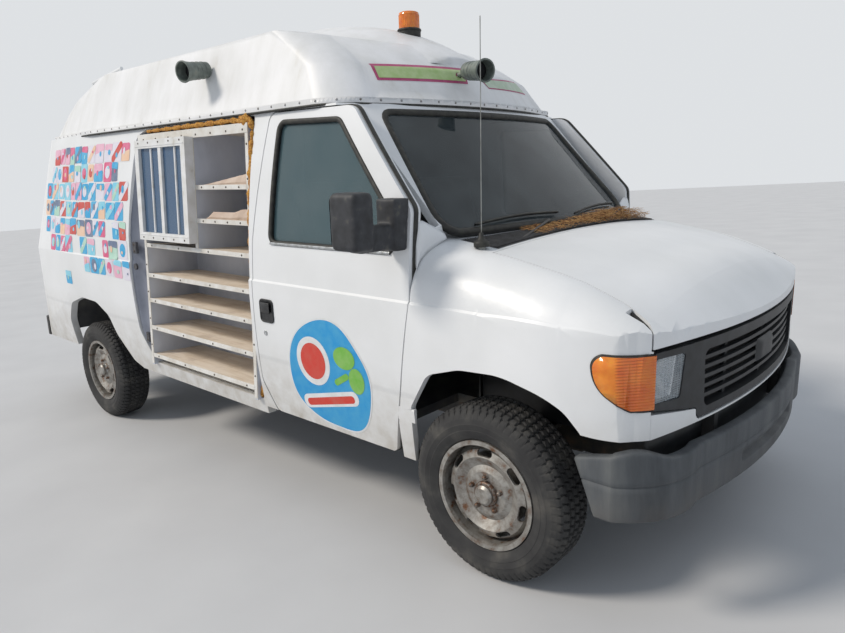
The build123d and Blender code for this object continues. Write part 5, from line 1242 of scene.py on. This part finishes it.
def wedge(x0, x1, shelf, heights):
    """A folded sheet lying on a shelf: its top edge follows heights given along its length, its front leans
    back, and its underside rests on the board."""
    share = np.linspace(0, 1, WEDGE_COLUMNS)
    x = x0 + (x1 - x0) * share
    rise = np.interp(share, *np.array(heights, float).T)
    fold = 0.0015 * np.sin(share * 40) * (rise > 0.01)
    flat = 0 * rise
    rows = [(0.020 + flat, 0.0006 + flat), (0.016 + fold, 0.30 * rise), (0.024 + fold, 0.72 * rise),
            (0.034 + fold, rise), (0.060 + flat, rise * 0.97), (WEDGE_DEPTH + flat, 0.55 * rise),
            (WEDGE_DEPTH + 0.01 + flat, 0.0006 + flat)]
    points = np.stack([np.stack([x, LEAN_Y + back, shelf + 0.0006 + up], -1) for back, up in rows], 1)
    body, faces = leaning(points).reshape(-1, 3), grid_faces(WEDGE_COLUMNS, len(rows), wrap_columns=True)
    n, last = len(rows), len(body) - len(rows)
    ends = [[0, i + 1, i, i] for i in range(1, n - 1)]
    ends += [[last, last + i, last + i + 1, last + i + 1] for i in range(1, n - 1)]
    return body, np.concatenate([faces, ends])


wedges = [wedge(-1.945, -1.476, 1.540, [(0, 0.004), (0.1, 0.008), (1, 0.062)]),
          wedge(-1.905, -1.476, 1.360, [(0, 0.004), (0.12, 0.040), (0.6, 0.040), (0.75, 0.056), (1, 0.060)])]
piece = build("folded_boards", *joined(wedges), paperboard, False)
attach(piece, "root")


# Opening's edge: brown-yellow building foam, squeezed in above the shelves and down the door side jamb and
# trimmed roughly, with grey sheet closing the gap between the unit and the jamb.
# Cut building foam: open cells about 8 mm wide, yellow inside and burnt brown by the sun outside.
foam, tree, shader = material("aged building foam", "#C08A3A", 0.9)
cells = object_noise(tree, 120, 6.0, 0.7)
FOAM_TONES = [(0.30, "#E0B25C"), (0.48, "#C48E3E"), (0.60, "#8E5420"), (0.75, "#4A2812")]
browned = add(tree, "ValToRGB", {"stops": FOAM_TONES}, {0: cells})
surface(shader, browned, cells, 0.9, 0.006)


BEAD_SIDES = 12


def squeezed(path, radius, seed):
    """A lumpy bead along a path of body points: its radius at each point swells and thins by summed sines, and
    its skin is roughened by seeded noise."""
    path, radius = np.array(path, float), np.array(radius, float)
    run = np.concatenate([[0], np.cumsum(np.linalg.norm(np.diff(path, axis=0), axis=1))])
    even = np.linspace(0, run[-1], int(run[-1] / 0.008))
    line = np.stack([np.interp(even, run, path[:, k]) for k in range(3)], -1)
    size = np.interp(even, run, radius)
    noise = np.random.default_rng(seed)
    lumps = 1 + 0.25 * np.sin(even * 55 + seed) + 0.18 * np.sin(even * 131 + 2 * seed)
    taper = np.sqrt(np.clip(np.minimum(even, run[-1] - even) / 0.02, 0.02, 1))
    turn = np.linspace(0, 2 * np.pi, BEAD_SIDES, endpoint=False)
    r = (size * lumps * taper)[:, None] * (1 + 0.22 * noise.random((len(even), BEAD_SIDES)))
    along = np.gradient(line, axis=0)
    along /= np.linalg.norm(along, axis=1, keepdims=True)
    side = np.cross(along, (0, 1, 0))
    side /= np.linalg.norm(side, axis=1, keepdims=True)
    points = line[:, None] + r[..., None] * (np.cos(turn)[:, None] * side[:, None]
                                             + np.sin(turn)[:, None] * np.cross(along, side)[:, None] * 0.75)
    return placed(points), grid_faces(len(even), BEAD_SIDES, wrap_columns=True)


beads = [squeezed([(-2.500, -0.900, 1.853), (-2.0, -0.900, 1.854), (-1.56, -0.901, 1.855)],
                  [0.007, 0.011, 0.010], 1),
         squeezed([(-1.600, -0.898, 1.852), (-1.52, -0.898, 1.850), (-1.450, -0.898, 1.846),
                   (-1.424, -0.900, 1.800)], [0.010, 0.020, 0.026, 0.012], 2),
         squeezed([(-1.426, -0.905, 1.800), (-1.430, -0.915, 1.700), (-1.434, -0.930, 1.560),
                   (-1.436, -0.945, 1.430), (-1.438, -0.962, 1.250), (-1.438, -0.972, 1.090),
                   (-1.438, -0.980, 0.930)], [0.012, 0.015, 0.017, 0.016, 0.011, 0.008, 0.005], 3),
         squeezed([(-1.500, -0.955, 0.452), (-1.455, -0.955, 0.455), (-1.432, -0.960, 0.480),
                   (-1.430, -0.968, 0.530)], [0.008, 0.014, 0.012, 0.006], 4)]
piece = build("opening_foam", *joined(beads), foam)
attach(piece, "root")
z = np.linspace(0.50, 1.846, 24)[:, None]
x = np.linspace(SHELF_RIGHT + 0.008, -1.4195, 4)[None, :]
x, z = np.broadcast_arrays(x, z)
points = leaning(np.stack([x, np.full(x.shape, LEAN_Y + 0.030), z], -1))
# The infill sheet's darker blue-grey is painted shade.
infill = build("jamb_infill_sheet", points, grid_faces(24, 4), shaded_lining)
thickened(infill, BODY_SHEET)
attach(infill, "root")


# Serving window: a frame of white extruded aluminium with two sliding panes, screwed to the front of the shelf
# unit, with a dark pleated blind drawn at its left end.
# Powder-coated extrusion: an even satin white with dirt in patches.
window_white = mottled("white window extrusion", "#E3E4E4", 0.35, 0.0, (15, 7.0),
                       [(0.35, "#E6E7E8"), (0.62, "#D8D8D5"), (0.8, "#B8B2A6")])
dress(window_white, "serving_frame")
# The serving window's blue is a painted reflection of the sky.
sky_reflection_pane = pane("window glass with painted sky reflection", "#33608E", 0.26)
dress(sky_reflection_pane, "serving_glass")
WINDOW_LEFT, WINDOW_RIGHT, WINDOW_LOW, WINDOW_HIGH, WINDOW_OUT = -2.535, -1.964, 1.225, 1.798, 0.054
sash = []
for x in (WINDOW_LEFT + 0.170, WINDOW_RIGHT - 0.130):
    y = LEAN_Y - WINDOW_OUT + 0.016
    path = leaning([[x, y, WINDOW_LOW + 0.048], [x, y, WINDOW_HIGH - 0.048]])
    sash.append(closed_bar(path, front, bar(0.014, 0.006, -0.004, 0.2)))
for z in (WINDOW_LOW + 0.033, WINDOW_HIGH - 0.033):
    path = leaning([[x, LEAN_Y - WINDOW_OUT, z] for x in (WINDOW_LEFT + 0.01, WINDOW_RIGHT - 0.01)])
    sash.append(closed_bar(path, front, bar(0.006, 0.0025, -0.001, 0.3)))
piece = build("serving_window_bars", *joined(sash), window_white, False)
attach(piece, "root")
# Pleated cloth: dull dark grey, one pleat every 19 mm.
blind_cloth, tree, shader = material("dark pleated blind", "#3D4244", 0.85)
PLEATS = 330.0
faded = add(tree, "ValToRGB", {"stops": [(0.35, "#363B3D"), (0.7, "#4E5250")]}, {0: object_noise(tree, 7)})
surface(shader, faded, ribbed(tree, "X", PLEATS), 0.7, 0.004)
x = np.linspace(WINDOW_LEFT + 0.047, WINDOW_LEFT + 0.168, 40)[:, None]
z = np.linspace(WINDOW_LOW + 0.047, WINDOW_HIGH - 0.047, 8)[None, :]
x, z = np.broadcast_arrays(x, z)
points = leaning(np.stack([x, LEAN_Y - 0.016 + 0.004 * np.sin(x * PLEATS), z], -1))
piece = build("window_blind", points, grid_faces(40, 8)[:, ::-1], blind_cloth)
thickened(piece, 0.001)
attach(piece, "root")
x, z = np.array([(x, z) for x in np.linspace(WINDOW_LEFT + 0.05, WINDOW_RIGHT - 0.05, 5)
                 for z in (WINDOW_LOW + 0.016, WINDOW_HIGH - 0.016)]).T
heads = leaning(np.stack([x, np.full(len(x), LEAN_Y - WINDOW_OUT + 0.0003), z], -1))
piece = build("serving_window_screws", *domes(heads, [front] * len(heads), DOME, 8), screw_steel)
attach(piece, "root")


# Floor and step: pressed steel under a moulded grey rubber mat, with three ridges of chipped white strip along
# the step's edge.
# Moulded rubber: no shine, greyed by trodden dust, its pimples drawn at 4 mm.
mat_rubber = mottled("dusty grey rubber mat", "#4F5052", 0.85, 0.0, (8, 8.0),
                     [(0.3, "#45464A"), (0.6, "#5E5D5B"), (0.8, "#7D766A")], (260, 2.0, 0.5, 0.0012))
dress(mat_rubber, "floor")
x = np.linspace(-2.55, -1.43, 90)
STEP_EDGE = 0.9515
worn_down = 0.0012 * np.random.default_rng(3).random(90)
nosing = [carried(placed(np.stack([x, np.full(90, -STEP_EDGE + k), STEP_Z + 0.0008 - worn_down], -1)), (0, 0, 1),
                  [(-0.001, -0.0045), (0.0030, -0.0030), (0.0030, 0.0030), (-0.001, 0.0045)], False)
          for k in (0.010, 0.024, 0.038)]
piece = build("step_ridges", *joined(nosing), strip_paint)
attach(piece, "root")


# Rear jamb of the opening: grey-blue lining sheet, folded in from the opening's edge to the shelf unit, with two
# small hinge plates left where a door once hung, each held by two screws.
OPENING_EDGE = np.array([(0.442, -2.585), (0.640, -2.690), (1.245, -2.708), (1.700, -2.672), (1.829, -2.640),
                         (1.850, -2.600)])
z = np.linspace(0.452, 1.846, 36)[:, None]
share = np.linspace(0, 1, 9)[None, :]
edge_x = np.interp(z, *OPENING_EDGE.T)
outer = placed(np.stack([edge_x, -(side_y(edge_x, z) - 0.012), z], -1))
inner = leaning(np.stack([np.full_like(z, SHELF_LEFT - 0.010), np.full_like(z, LEAN_Y + 0.012), z], -1))
jamb = outer * (1 - share[..., None]) + inner * share[..., None]
jamb[..., 1] += 0.020 * np.sin(np.pi * share)
# The jamb's darker blue-grey is painted shade.
piece = build("rear_jamb_sheet", jamb, grid_faces(36, 9), shaded_lining)
thickened(piece, BODY_SHEET)
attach(piece, "root")
plates, heads = [], []
for middle, height, length, wide in ((-2.660, 1.166, 0.070, 0.052), (-2.632, 0.600, 0.060, 0.034)):
    depth = side_y(middle, height) - 0.010
    plates.append(closed_bar(placed([[middle, -depth, height - length / 2], [middle, -depth, height + length / 2]]),
                             np.array([0.0, -1.0, 0.0]), bar(wide, 0.003, -0.012, 0.2)))
    heads += [[middle, -depth - 0.0028, height + k * length * 0.28] for k in (-1, 1)]
plates.append(lathe([(0.020, -0.010), (0.020, 0.001), (0.016, 0.0015), (0.0005, 0.0010)],
                    placed([-2.655, -(side_y(-2.655, 1.050) - 0.012), 1.050]), (0, -1, 0), 24))
# Dark plated steel, browned by rust in patches of 2 cm.
hinge_grey = mottled("rusting dark hinge steel", "#4A4B50", 0.55, 0.3, (45, 6.0),
                     [(0.35, "#3C3D42"), (0.6, "#55565A"), (0.75, "#6B4A33")])
piece = build("hinge_plates", *joined(plates), hinge_grey, False)
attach(piece, "root")
piece = build("hinge_plate_screws", *domes(placed(heads), [(0, -1, 0)] * len(heads), DOME, 8), screw_steel)
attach(piece, "root")


# Door furniture: a black moulded handle cup with a paddle, a key lock in a steel collar, and a grey wiper strip
# along the foot of the door glass.
# Moulded black plastic, polished by hands to a low shine.
handle_black = mottled("worn black handle plastic", "#141518", 0.38, 0.0, (60,),
                       [(0.4, "#121316"), (0.7, "#2B2C2E")])
# Dull bright steel: still clearly metal, clouded grey.
bright_trim = mottled("dull bright trim", "#B9BCBE", 0.25, 0.9, (50,), [(0.4, "#C2C5C7"), (0.7, "#8D8C88")])


def side_patch(outline, side, out, rings=7, dish=0.0):
    """Surface inside a side-view outline, as rings shrunk towards its middle, `out` metres proud of the body's
    side; `dish` sinks it by a half circle's height from its edge to its middle."""
    share = np.linspace(0, 1, rings)[:, None, None]
    xz = outline[None] * (1 - share) + outline.mean(0) * share
    height = out - dish * np.sqrt(1 - (1 - share[..., 0]) ** 2)
    return placed(on_side(side, xz[..., 0], xz[..., 1], height)), grid_faces(rings, len(outline), wrap_columns=True)


for side, name in ((-1, "right"), (1, "left")):
    cup_edge = rounded([(-1.330, 0.881, 0.018), (-1.330, 0.990, 0.018), (-1.229, 0.990, 0.018),
                        (-1.229, 0.881, 0.018)], 0.006)
    cup = side_patch(cup_edge, side, 0.0035, 9, 0.0028)
    cup = (cup[0], cup[1] if side < 0 else cup[1][:, ::-1])
    lip = carried(placed(on_side(side, *cup_edge.T, 0.0)), (0, side, 0), bar(0.008, 0.0055, -0.001), True)
    x = np.linspace(-1.322, -1.248, 9)
    bowed = placed(on_side(side, x, np.full(9, 0.952), 0.0015 + 0.006 * np.sin(np.linspace(0.3, 2.2, 9))))
    paddle = carried(bowed, (0, side, 0), bar(0.052, 0.0045, 0.0, 0.4), False)
    piece = build("door_handle_" + name, *joined([cup, lip, paddle]), handle_black)
    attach(piece, "front_door_" + name)
    lock = lathe([(0.0135, -0.002), (0.0135, 0.002), (0.0115, 0.0032), (0.0085, 0.0028), (0.0070, 0.0012),
                  (0.0005, 0.0012)], placed(on_side(side, -1.307, 0.821, 0.0)), (0, side, 0), 24)
    x = np.linspace(-1.235, -0.440, 30)
    foot = placed(on_side(side, x, np.full(30, 1.2665), 0.0))
    sill = carried(foot, (0, side, 0), bar(0.013, 0.0085, -0.001), False)
    piece = build("door_lock_and_sill_" + name, *joined([lock, sill]), bright_trim)
    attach(piece, "front_door_" + name)


# Door sign: a cut vinyl print, faded, on a sky-blue ground with a white rim; plain bands and discs stand in the
# place of its picture and words.
sign_white = printed("faded white vinyl", "#E4E6E8", "#D2D4D3")
sign_blue = printed("sky-blue vinyl", "#1893D2", "#4AA6D2")
sign_red = printed("red vinyl", "#CF3426", "#C8584A")
sign_green = printed("leaf-green vinyl", "#6DB23E", "#8FBE6A")
SIGN_EDGE = [(-0.885, 0.952), (-0.955, 0.930), (-1.032, 0.894), (-1.100, 0.825), (-1.137, 0.745), (-1.146, 0.655),
             (-1.132, 0.564), (-1.090, 0.505), (-1.024, 0.465), (-0.953, 0.438), (-0.840, 0.425), (-0.713, 0.427),
             (-0.650, 0.458), (-0.609, 0.519), (-0.580, 0.600), (-0.573, 0.693), (-0.592, 0.760), (-0.631, 0.816),
             (-0.721, 0.915), (-0.800, 0.950)]


def smooth_loop(points, count=160):
    """A closed loop through points as a periodic curve: the first eight Fourier terms of the loop."""
    path = np.concatenate([points, points[:1]])
    run = np.concatenate([[0], np.cumsum(np.linalg.norm(np.diff(path, axis=0), axis=1))])
    even = np.linspace(0, run[-1], count, endpoint=False)
    wave = np.fft.rfft(np.stack([np.interp(even, run, path[:, k]) for k in (0, 1)]), axis=1)
    wave[:, 9:] = 0
    return np.fft.irfft(wave, count, axis=1).T


def disc(x, z, radius, squash=1.0, count=40):
    """Outline of a disc, or of an oval squashed in height."""
    turn = np.linspace(0, 2 * np.pi, count, endpoint=False)
    return np.stack([x + radius * np.cos(turn), z + squash * radius * np.sin(turn)], -1)


def band(x0, z0, x1, z1, width):
    """Outline of a slanted band with round ends."""
    a, b = np.array([x0, z0]), np.array([x1, z1])
    along = (b - a) / np.linalg.norm(b - a)
    aside = np.array([-along[1], along[0]]) * width / 2
    turn = np.linspace(-np.pi / 2, np.pi / 2, 9)[:, None]
    cap = np.cos(turn) * along * width / 2 + np.sin(turn) * aside
    return np.concatenate([b + cap, a - cap])


edge = smooth_loop(np.array(SIGN_EDGE))
ground = edge.mean(0) + (edge - edge.mean(0)) * 0.972
LAYERS = [("sign_rim", sign_white, [edge], 0.0010), ("sign_ground", sign_blue, [ground], 0.0016),
          ("sign_bands", sign_white, [disc(-0.955, 0.735, 0.118), band(-1.03, 0.52, -0.70, 0.60, 0.070)], 0.0022),
          ("sign_discs", sign_red, [disc(-0.955, 0.735, 0.088), band(-1.02, 0.518, -0.71, 0.594, 0.036)], 0.0028),
          ("sign_leaves", sign_green, [disc(-0.735, 0.785, 0.070, 0.75), disc(-0.665, 0.690, 0.050, 1.2),
                                       band(-0.80, 0.66, -0.73, 0.70, 0.030)], 0.0028)]
for name, ink, outlines, out in LAYERS:
    piece = build("door_" + name, *joined([side_patch(o, -1, out, 9) for o in outlines]), ink)
    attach(piece, "front_door_right")


# Side stickers: small square prints in uneven rows behind the opening, bleached and curled at the edges; blank
# grounds with plain bands and discs, in the same inks, sizes and density, laid out anew.
INKS = {"lilac": ("#D9D6E4", "#E6E4EA"), "azure": ("#1FA0D8", "#63B8DC"), "cyan": ("#7CCBE4", "#A4D8E6"),
        "pink": ("#E3A9C2", "#E9C2D1"), "cherry": ("#D8507F", "#DB86A2"), "mint": ("#A7D2BF", "#C0DCCF"),
        "scarlet": ("#C93A34", "#CB6A60"), "slate": ("#5B6C8C", "#8592A8"), "peach": ("#E8BE9C", "#EBD0BA")}
STICKER_ROWS = [(1.752, -3.990, -2.690, 0.120), (1.630, -4.040, -2.730, 0.122), (1.508, -4.150, -2.745, 0.120),
                (1.387, -4.160, -2.745, 0.118), (1.266, -4.140, -2.745, 0.120), (1.142, -4.020, -2.740, 0.122),
                (1.018, -3.480, -2.740, 0.120), (0.900, -3.760, -3.640, 0.100)]
random = np.random.default_rng(23)
patches = {name: [] for name in INKS}
names, INK_SHARES = list(INKS), [0.20, 0.26, 0.12, 0.11, 0.07, 0.07, 0.06, 0.07, 0.04]
for middle_z, x_start, x_end, tall in STICKER_ROWS:
    x = x_start
    while x < x_end - 0.06:
        wide = random.uniform(0.085, 0.135)
        low, high = middle_z - tall * random.uniform(0.43, 0.52), middle_z + tall * random.uniform(0.42, 0.52)
        if random.random() > 0.06:
            ground, over, spot = random.choice(len(names), 3, replace=False, p=INK_SHARES)
            a, b = x + 0.001, x + wide - 0.001
            tilt = random.uniform(-0.006, 0.006)
            square = rounded([(a, low, 0.004), (a + tilt, high, 0.004), (b + tilt, high, 0.004),
                              (b, low, 0.004)], 0.02)
            patches[names[ground]].append(side_patch(square, -1, 0.0012, 4))
            kind = random.integers(4)
            mid, size = (a + b) / 2, (b - a) / 2
            if kind == 0:
                shape = rounded([(a, low, 0.003), (a, low + (high - low) * 0.45, 0.003),
                                 (b, low + (high - low) * 0.65, 0.003), (b, low, 0.003)], 0.02)
            elif kind == 1:
                shape = disc(mid, (low + high) / 2, size * 0.62, 1.1, 20)
            elif kind == 2:
                shape = band(a + size * 0.3, low + 0.02, b - size * 0.3, high - 0.02, size * 0.7)
            else:
                shape = rounded([(a, high - 0.035, 0.003), (a, high, 0.003), (b, high, 0.003),
                                 (b, high - 0.045, 0.003)], 0.02)
            patches[names[over]].append(side_patch(shape, -1, 0.0020, 4))
            spot_x = mid + size * random.uniform(-0.4, 0.4)
            spot_z = (low + high) / 2 + tall * random.uniform(-0.25, 0.25)
            dot = disc(spot_x, spot_z, size * random.uniform(0.18, 0.32), random.uniform(0.6, 1.6), 14)
            patches[names[spot]].append(side_patch(dot, -1, 0.0028, 4))
        x += wide + random.uniform(0.0, 0.012)
for name, (fresh, worn) in INKS.items():
    ink = printed(name + " sticker print", fresh, worn)
    piece = build("side_stickers_" + name, *joined(patches[name]), ink)
    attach(piece, "root")


# Cab: moulded dashboard and engine cover in grey plastic, a rubber-rimmed steering wheel, and two seats in
# faded grey cloth, each pumped up from its solid like a filled cover.
# Grained cab plastic: an even low shine; its leather grain is drawn at 2 mm to show.
cab_plastic = mottled("grained grey cab plastic", "#4E5256", 0.6, 0.0, (6, 6.0),
                      [(0.35, "#474B4F"), (0.7, "#62655F")], (600, 2.0, 0.4, 0.0005))
dress(cab_plastic, "dashboard", "engine_cover")
dress(handle_black, "steering_wheel")
# Woven cloth: no shine, but a pale sheen at its edges. The weave is drawn at 3.5 mm a thread, several
# times the real one, so that it shows.
seat_cloth, tree, shader = material("faded grey seat cloth", "#6F7378", 0.9)
shader.inputs["Sheen Weight"].default_value = 0.4
weave = add(tree, "Math", {"operation": "MULTIPLY"}, {0: ribbed(tree, "Y", 1800.0), 1: ribbed(tree, "Z", 1800.0)})
greyed = add(tree, "ValToRGB", {"stops": [(0.35, "#686C72"), (0.7, "#7E8080")]}, {0: object_noise(tree, 9, 5.0)})
surface(shader, greyed, weave, 0.5, 0.0008)
SEAT_VOXEL, SEAT_SHRINK, SEAT_SWELL, SEAT_STEPS, PEDESTAL_Z = 0.014, 0.010, 0.022, 20, 0.845


def applied(piece):
    """Turns a piece's modifiers into its own mesh."""
    made = bpy.data.meshes.new_from_object(piece.evaluated_get(bpy.context.evaluated_depsgraph_get()))
    piece.modifiers.clear()
    piece.data = made


pads = skin_of("seats", 60)
pads.name = "seat_pads"
remesh = pads.modifiers.new("even cloth", "REMESH")
remesh.mode = "VOXEL"
remesh.voxel_size = SEAT_VOXEL
applied(pads)
start = coordinates(pads.data) - coordinates(pads.data, "normal") * SEAT_SHRINK
pads.data.vertices.foreach_set("co", start.ravel())
cloth = pads.modifiers.new("filled cover", "CLOTH")
cloth.settings.use_pressure = True
cloth.settings.uniform_pressure_force = 4.0
cloth.settings.effector_weights.gravity = 0.0
cloth.point_cache.frame_end = SEAT_STEPS
for moment in range(1, SEAT_STEPS + 1):
    bpy.context.scene.frame_set(moment)
applied(pads)
bpy.context.scene.frame_set(1)
moved = coordinates(pads.data) - start
far = np.linalg.norm(moved, axis=1, keepdims=True)
soft = step(levelled(start)[:, 2:], PEDESTAL_Z, 0.05)
capped = start + moved * np.minimum(1, SEAT_SWELL / np.maximum(far, 1e-9)) * soft
pads.data.vertices.foreach_set("co", capped.ravel())
pads.data.materials.clear()
pads.data.materials.append(seat_cloth)
pads.data.polygons.foreach_set("use_smooth", [True] * len(pads.data.polygons))
rounder = pads.modifiers.new("even surface", "SUBSURF")
rounder.levels = rounder.render_levels = 1
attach(pads, "root")


# Rear: ribbed lamps of red plastic, a folded steel step in black bumper paint with its edges worn bright, pressed
# caps on the rear hubs and black handles beside the doors' meeting edges.
# Red acrylic: a hard gloss over ribs 9 mm apart.
tail_red, tree, shader = material("ribbed red tail lens", "#A01A16", 0.18)
shader.inputs["Coat Weight"].default_value = 0.6
lens_tone = add(tree, "ValToRGB", {"stops": [(0.35, "#A81E18"), (0.7, "#7C1310")]}, {0: object_noise(tree, 20)})
surface(shader, lens_tone, ribbed(tree, "Z", 700.0), 0.6, 0.001)
dress(tail_red, "tail_lamps")
# Bumper paint on steel: black with a low shine, scuffed to bare grey in spots of 2 to 3 cm.
step_black, tree, shader = material("scuffed black bumper paint", "#1C1D20", 0.5, 0.2)
step_tone = add(tree, "ValToRGB", {"stops": [(0.35, "#18191C"), (0.7, "#2E2D2B")]}, {0: object_noise(tree, 8)})
worn_bright = patchy(tree, step_tone, "#77716B", (40, 7.0, 0.7), 0.56, 0.66, 0.8)[0]
surface(shader, worn_bright, object_noise(tree, 300), 0.4, 0.0008)
dress(step_black, "rear_bumper")
CAP_PROFILE = [(0.0, 0.012), (0.020, 0.011), (0.033, 0.006), (0.0405, 0.0), (0.0415, -0.012)]
CAP_SEAT = 0.078
for name, outward in (("rear_right", -1), ("rear_left", 1)):
    axle_x, axle_y = WHEELS[name]
    cap = lathe(CAP_PROFILE, (axle_x, axle_y + outward * CAP_SEAT, TYRE_RADIUS), (0, outward, 0), 40)
    piece = build("hub_cap_" + name, *cap, bright_trim)
    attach(piece, "wheel_" + name)
for side, name in ((-1, "right"), (1, "left")):
    path = placed(np.stack([np.full(8, -4.4985), np.linspace(0.035, 0.105, 8) * side, np.full(8, 1.052)], -1))
    grip = carried(path, (-1, 0, 0), bar(0.040, 0.012, -0.006, 0.4), False)
    piece = build("rear_door_handle_" + name, *grip, handle_black)
    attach(piece, "rear_door_" + name)
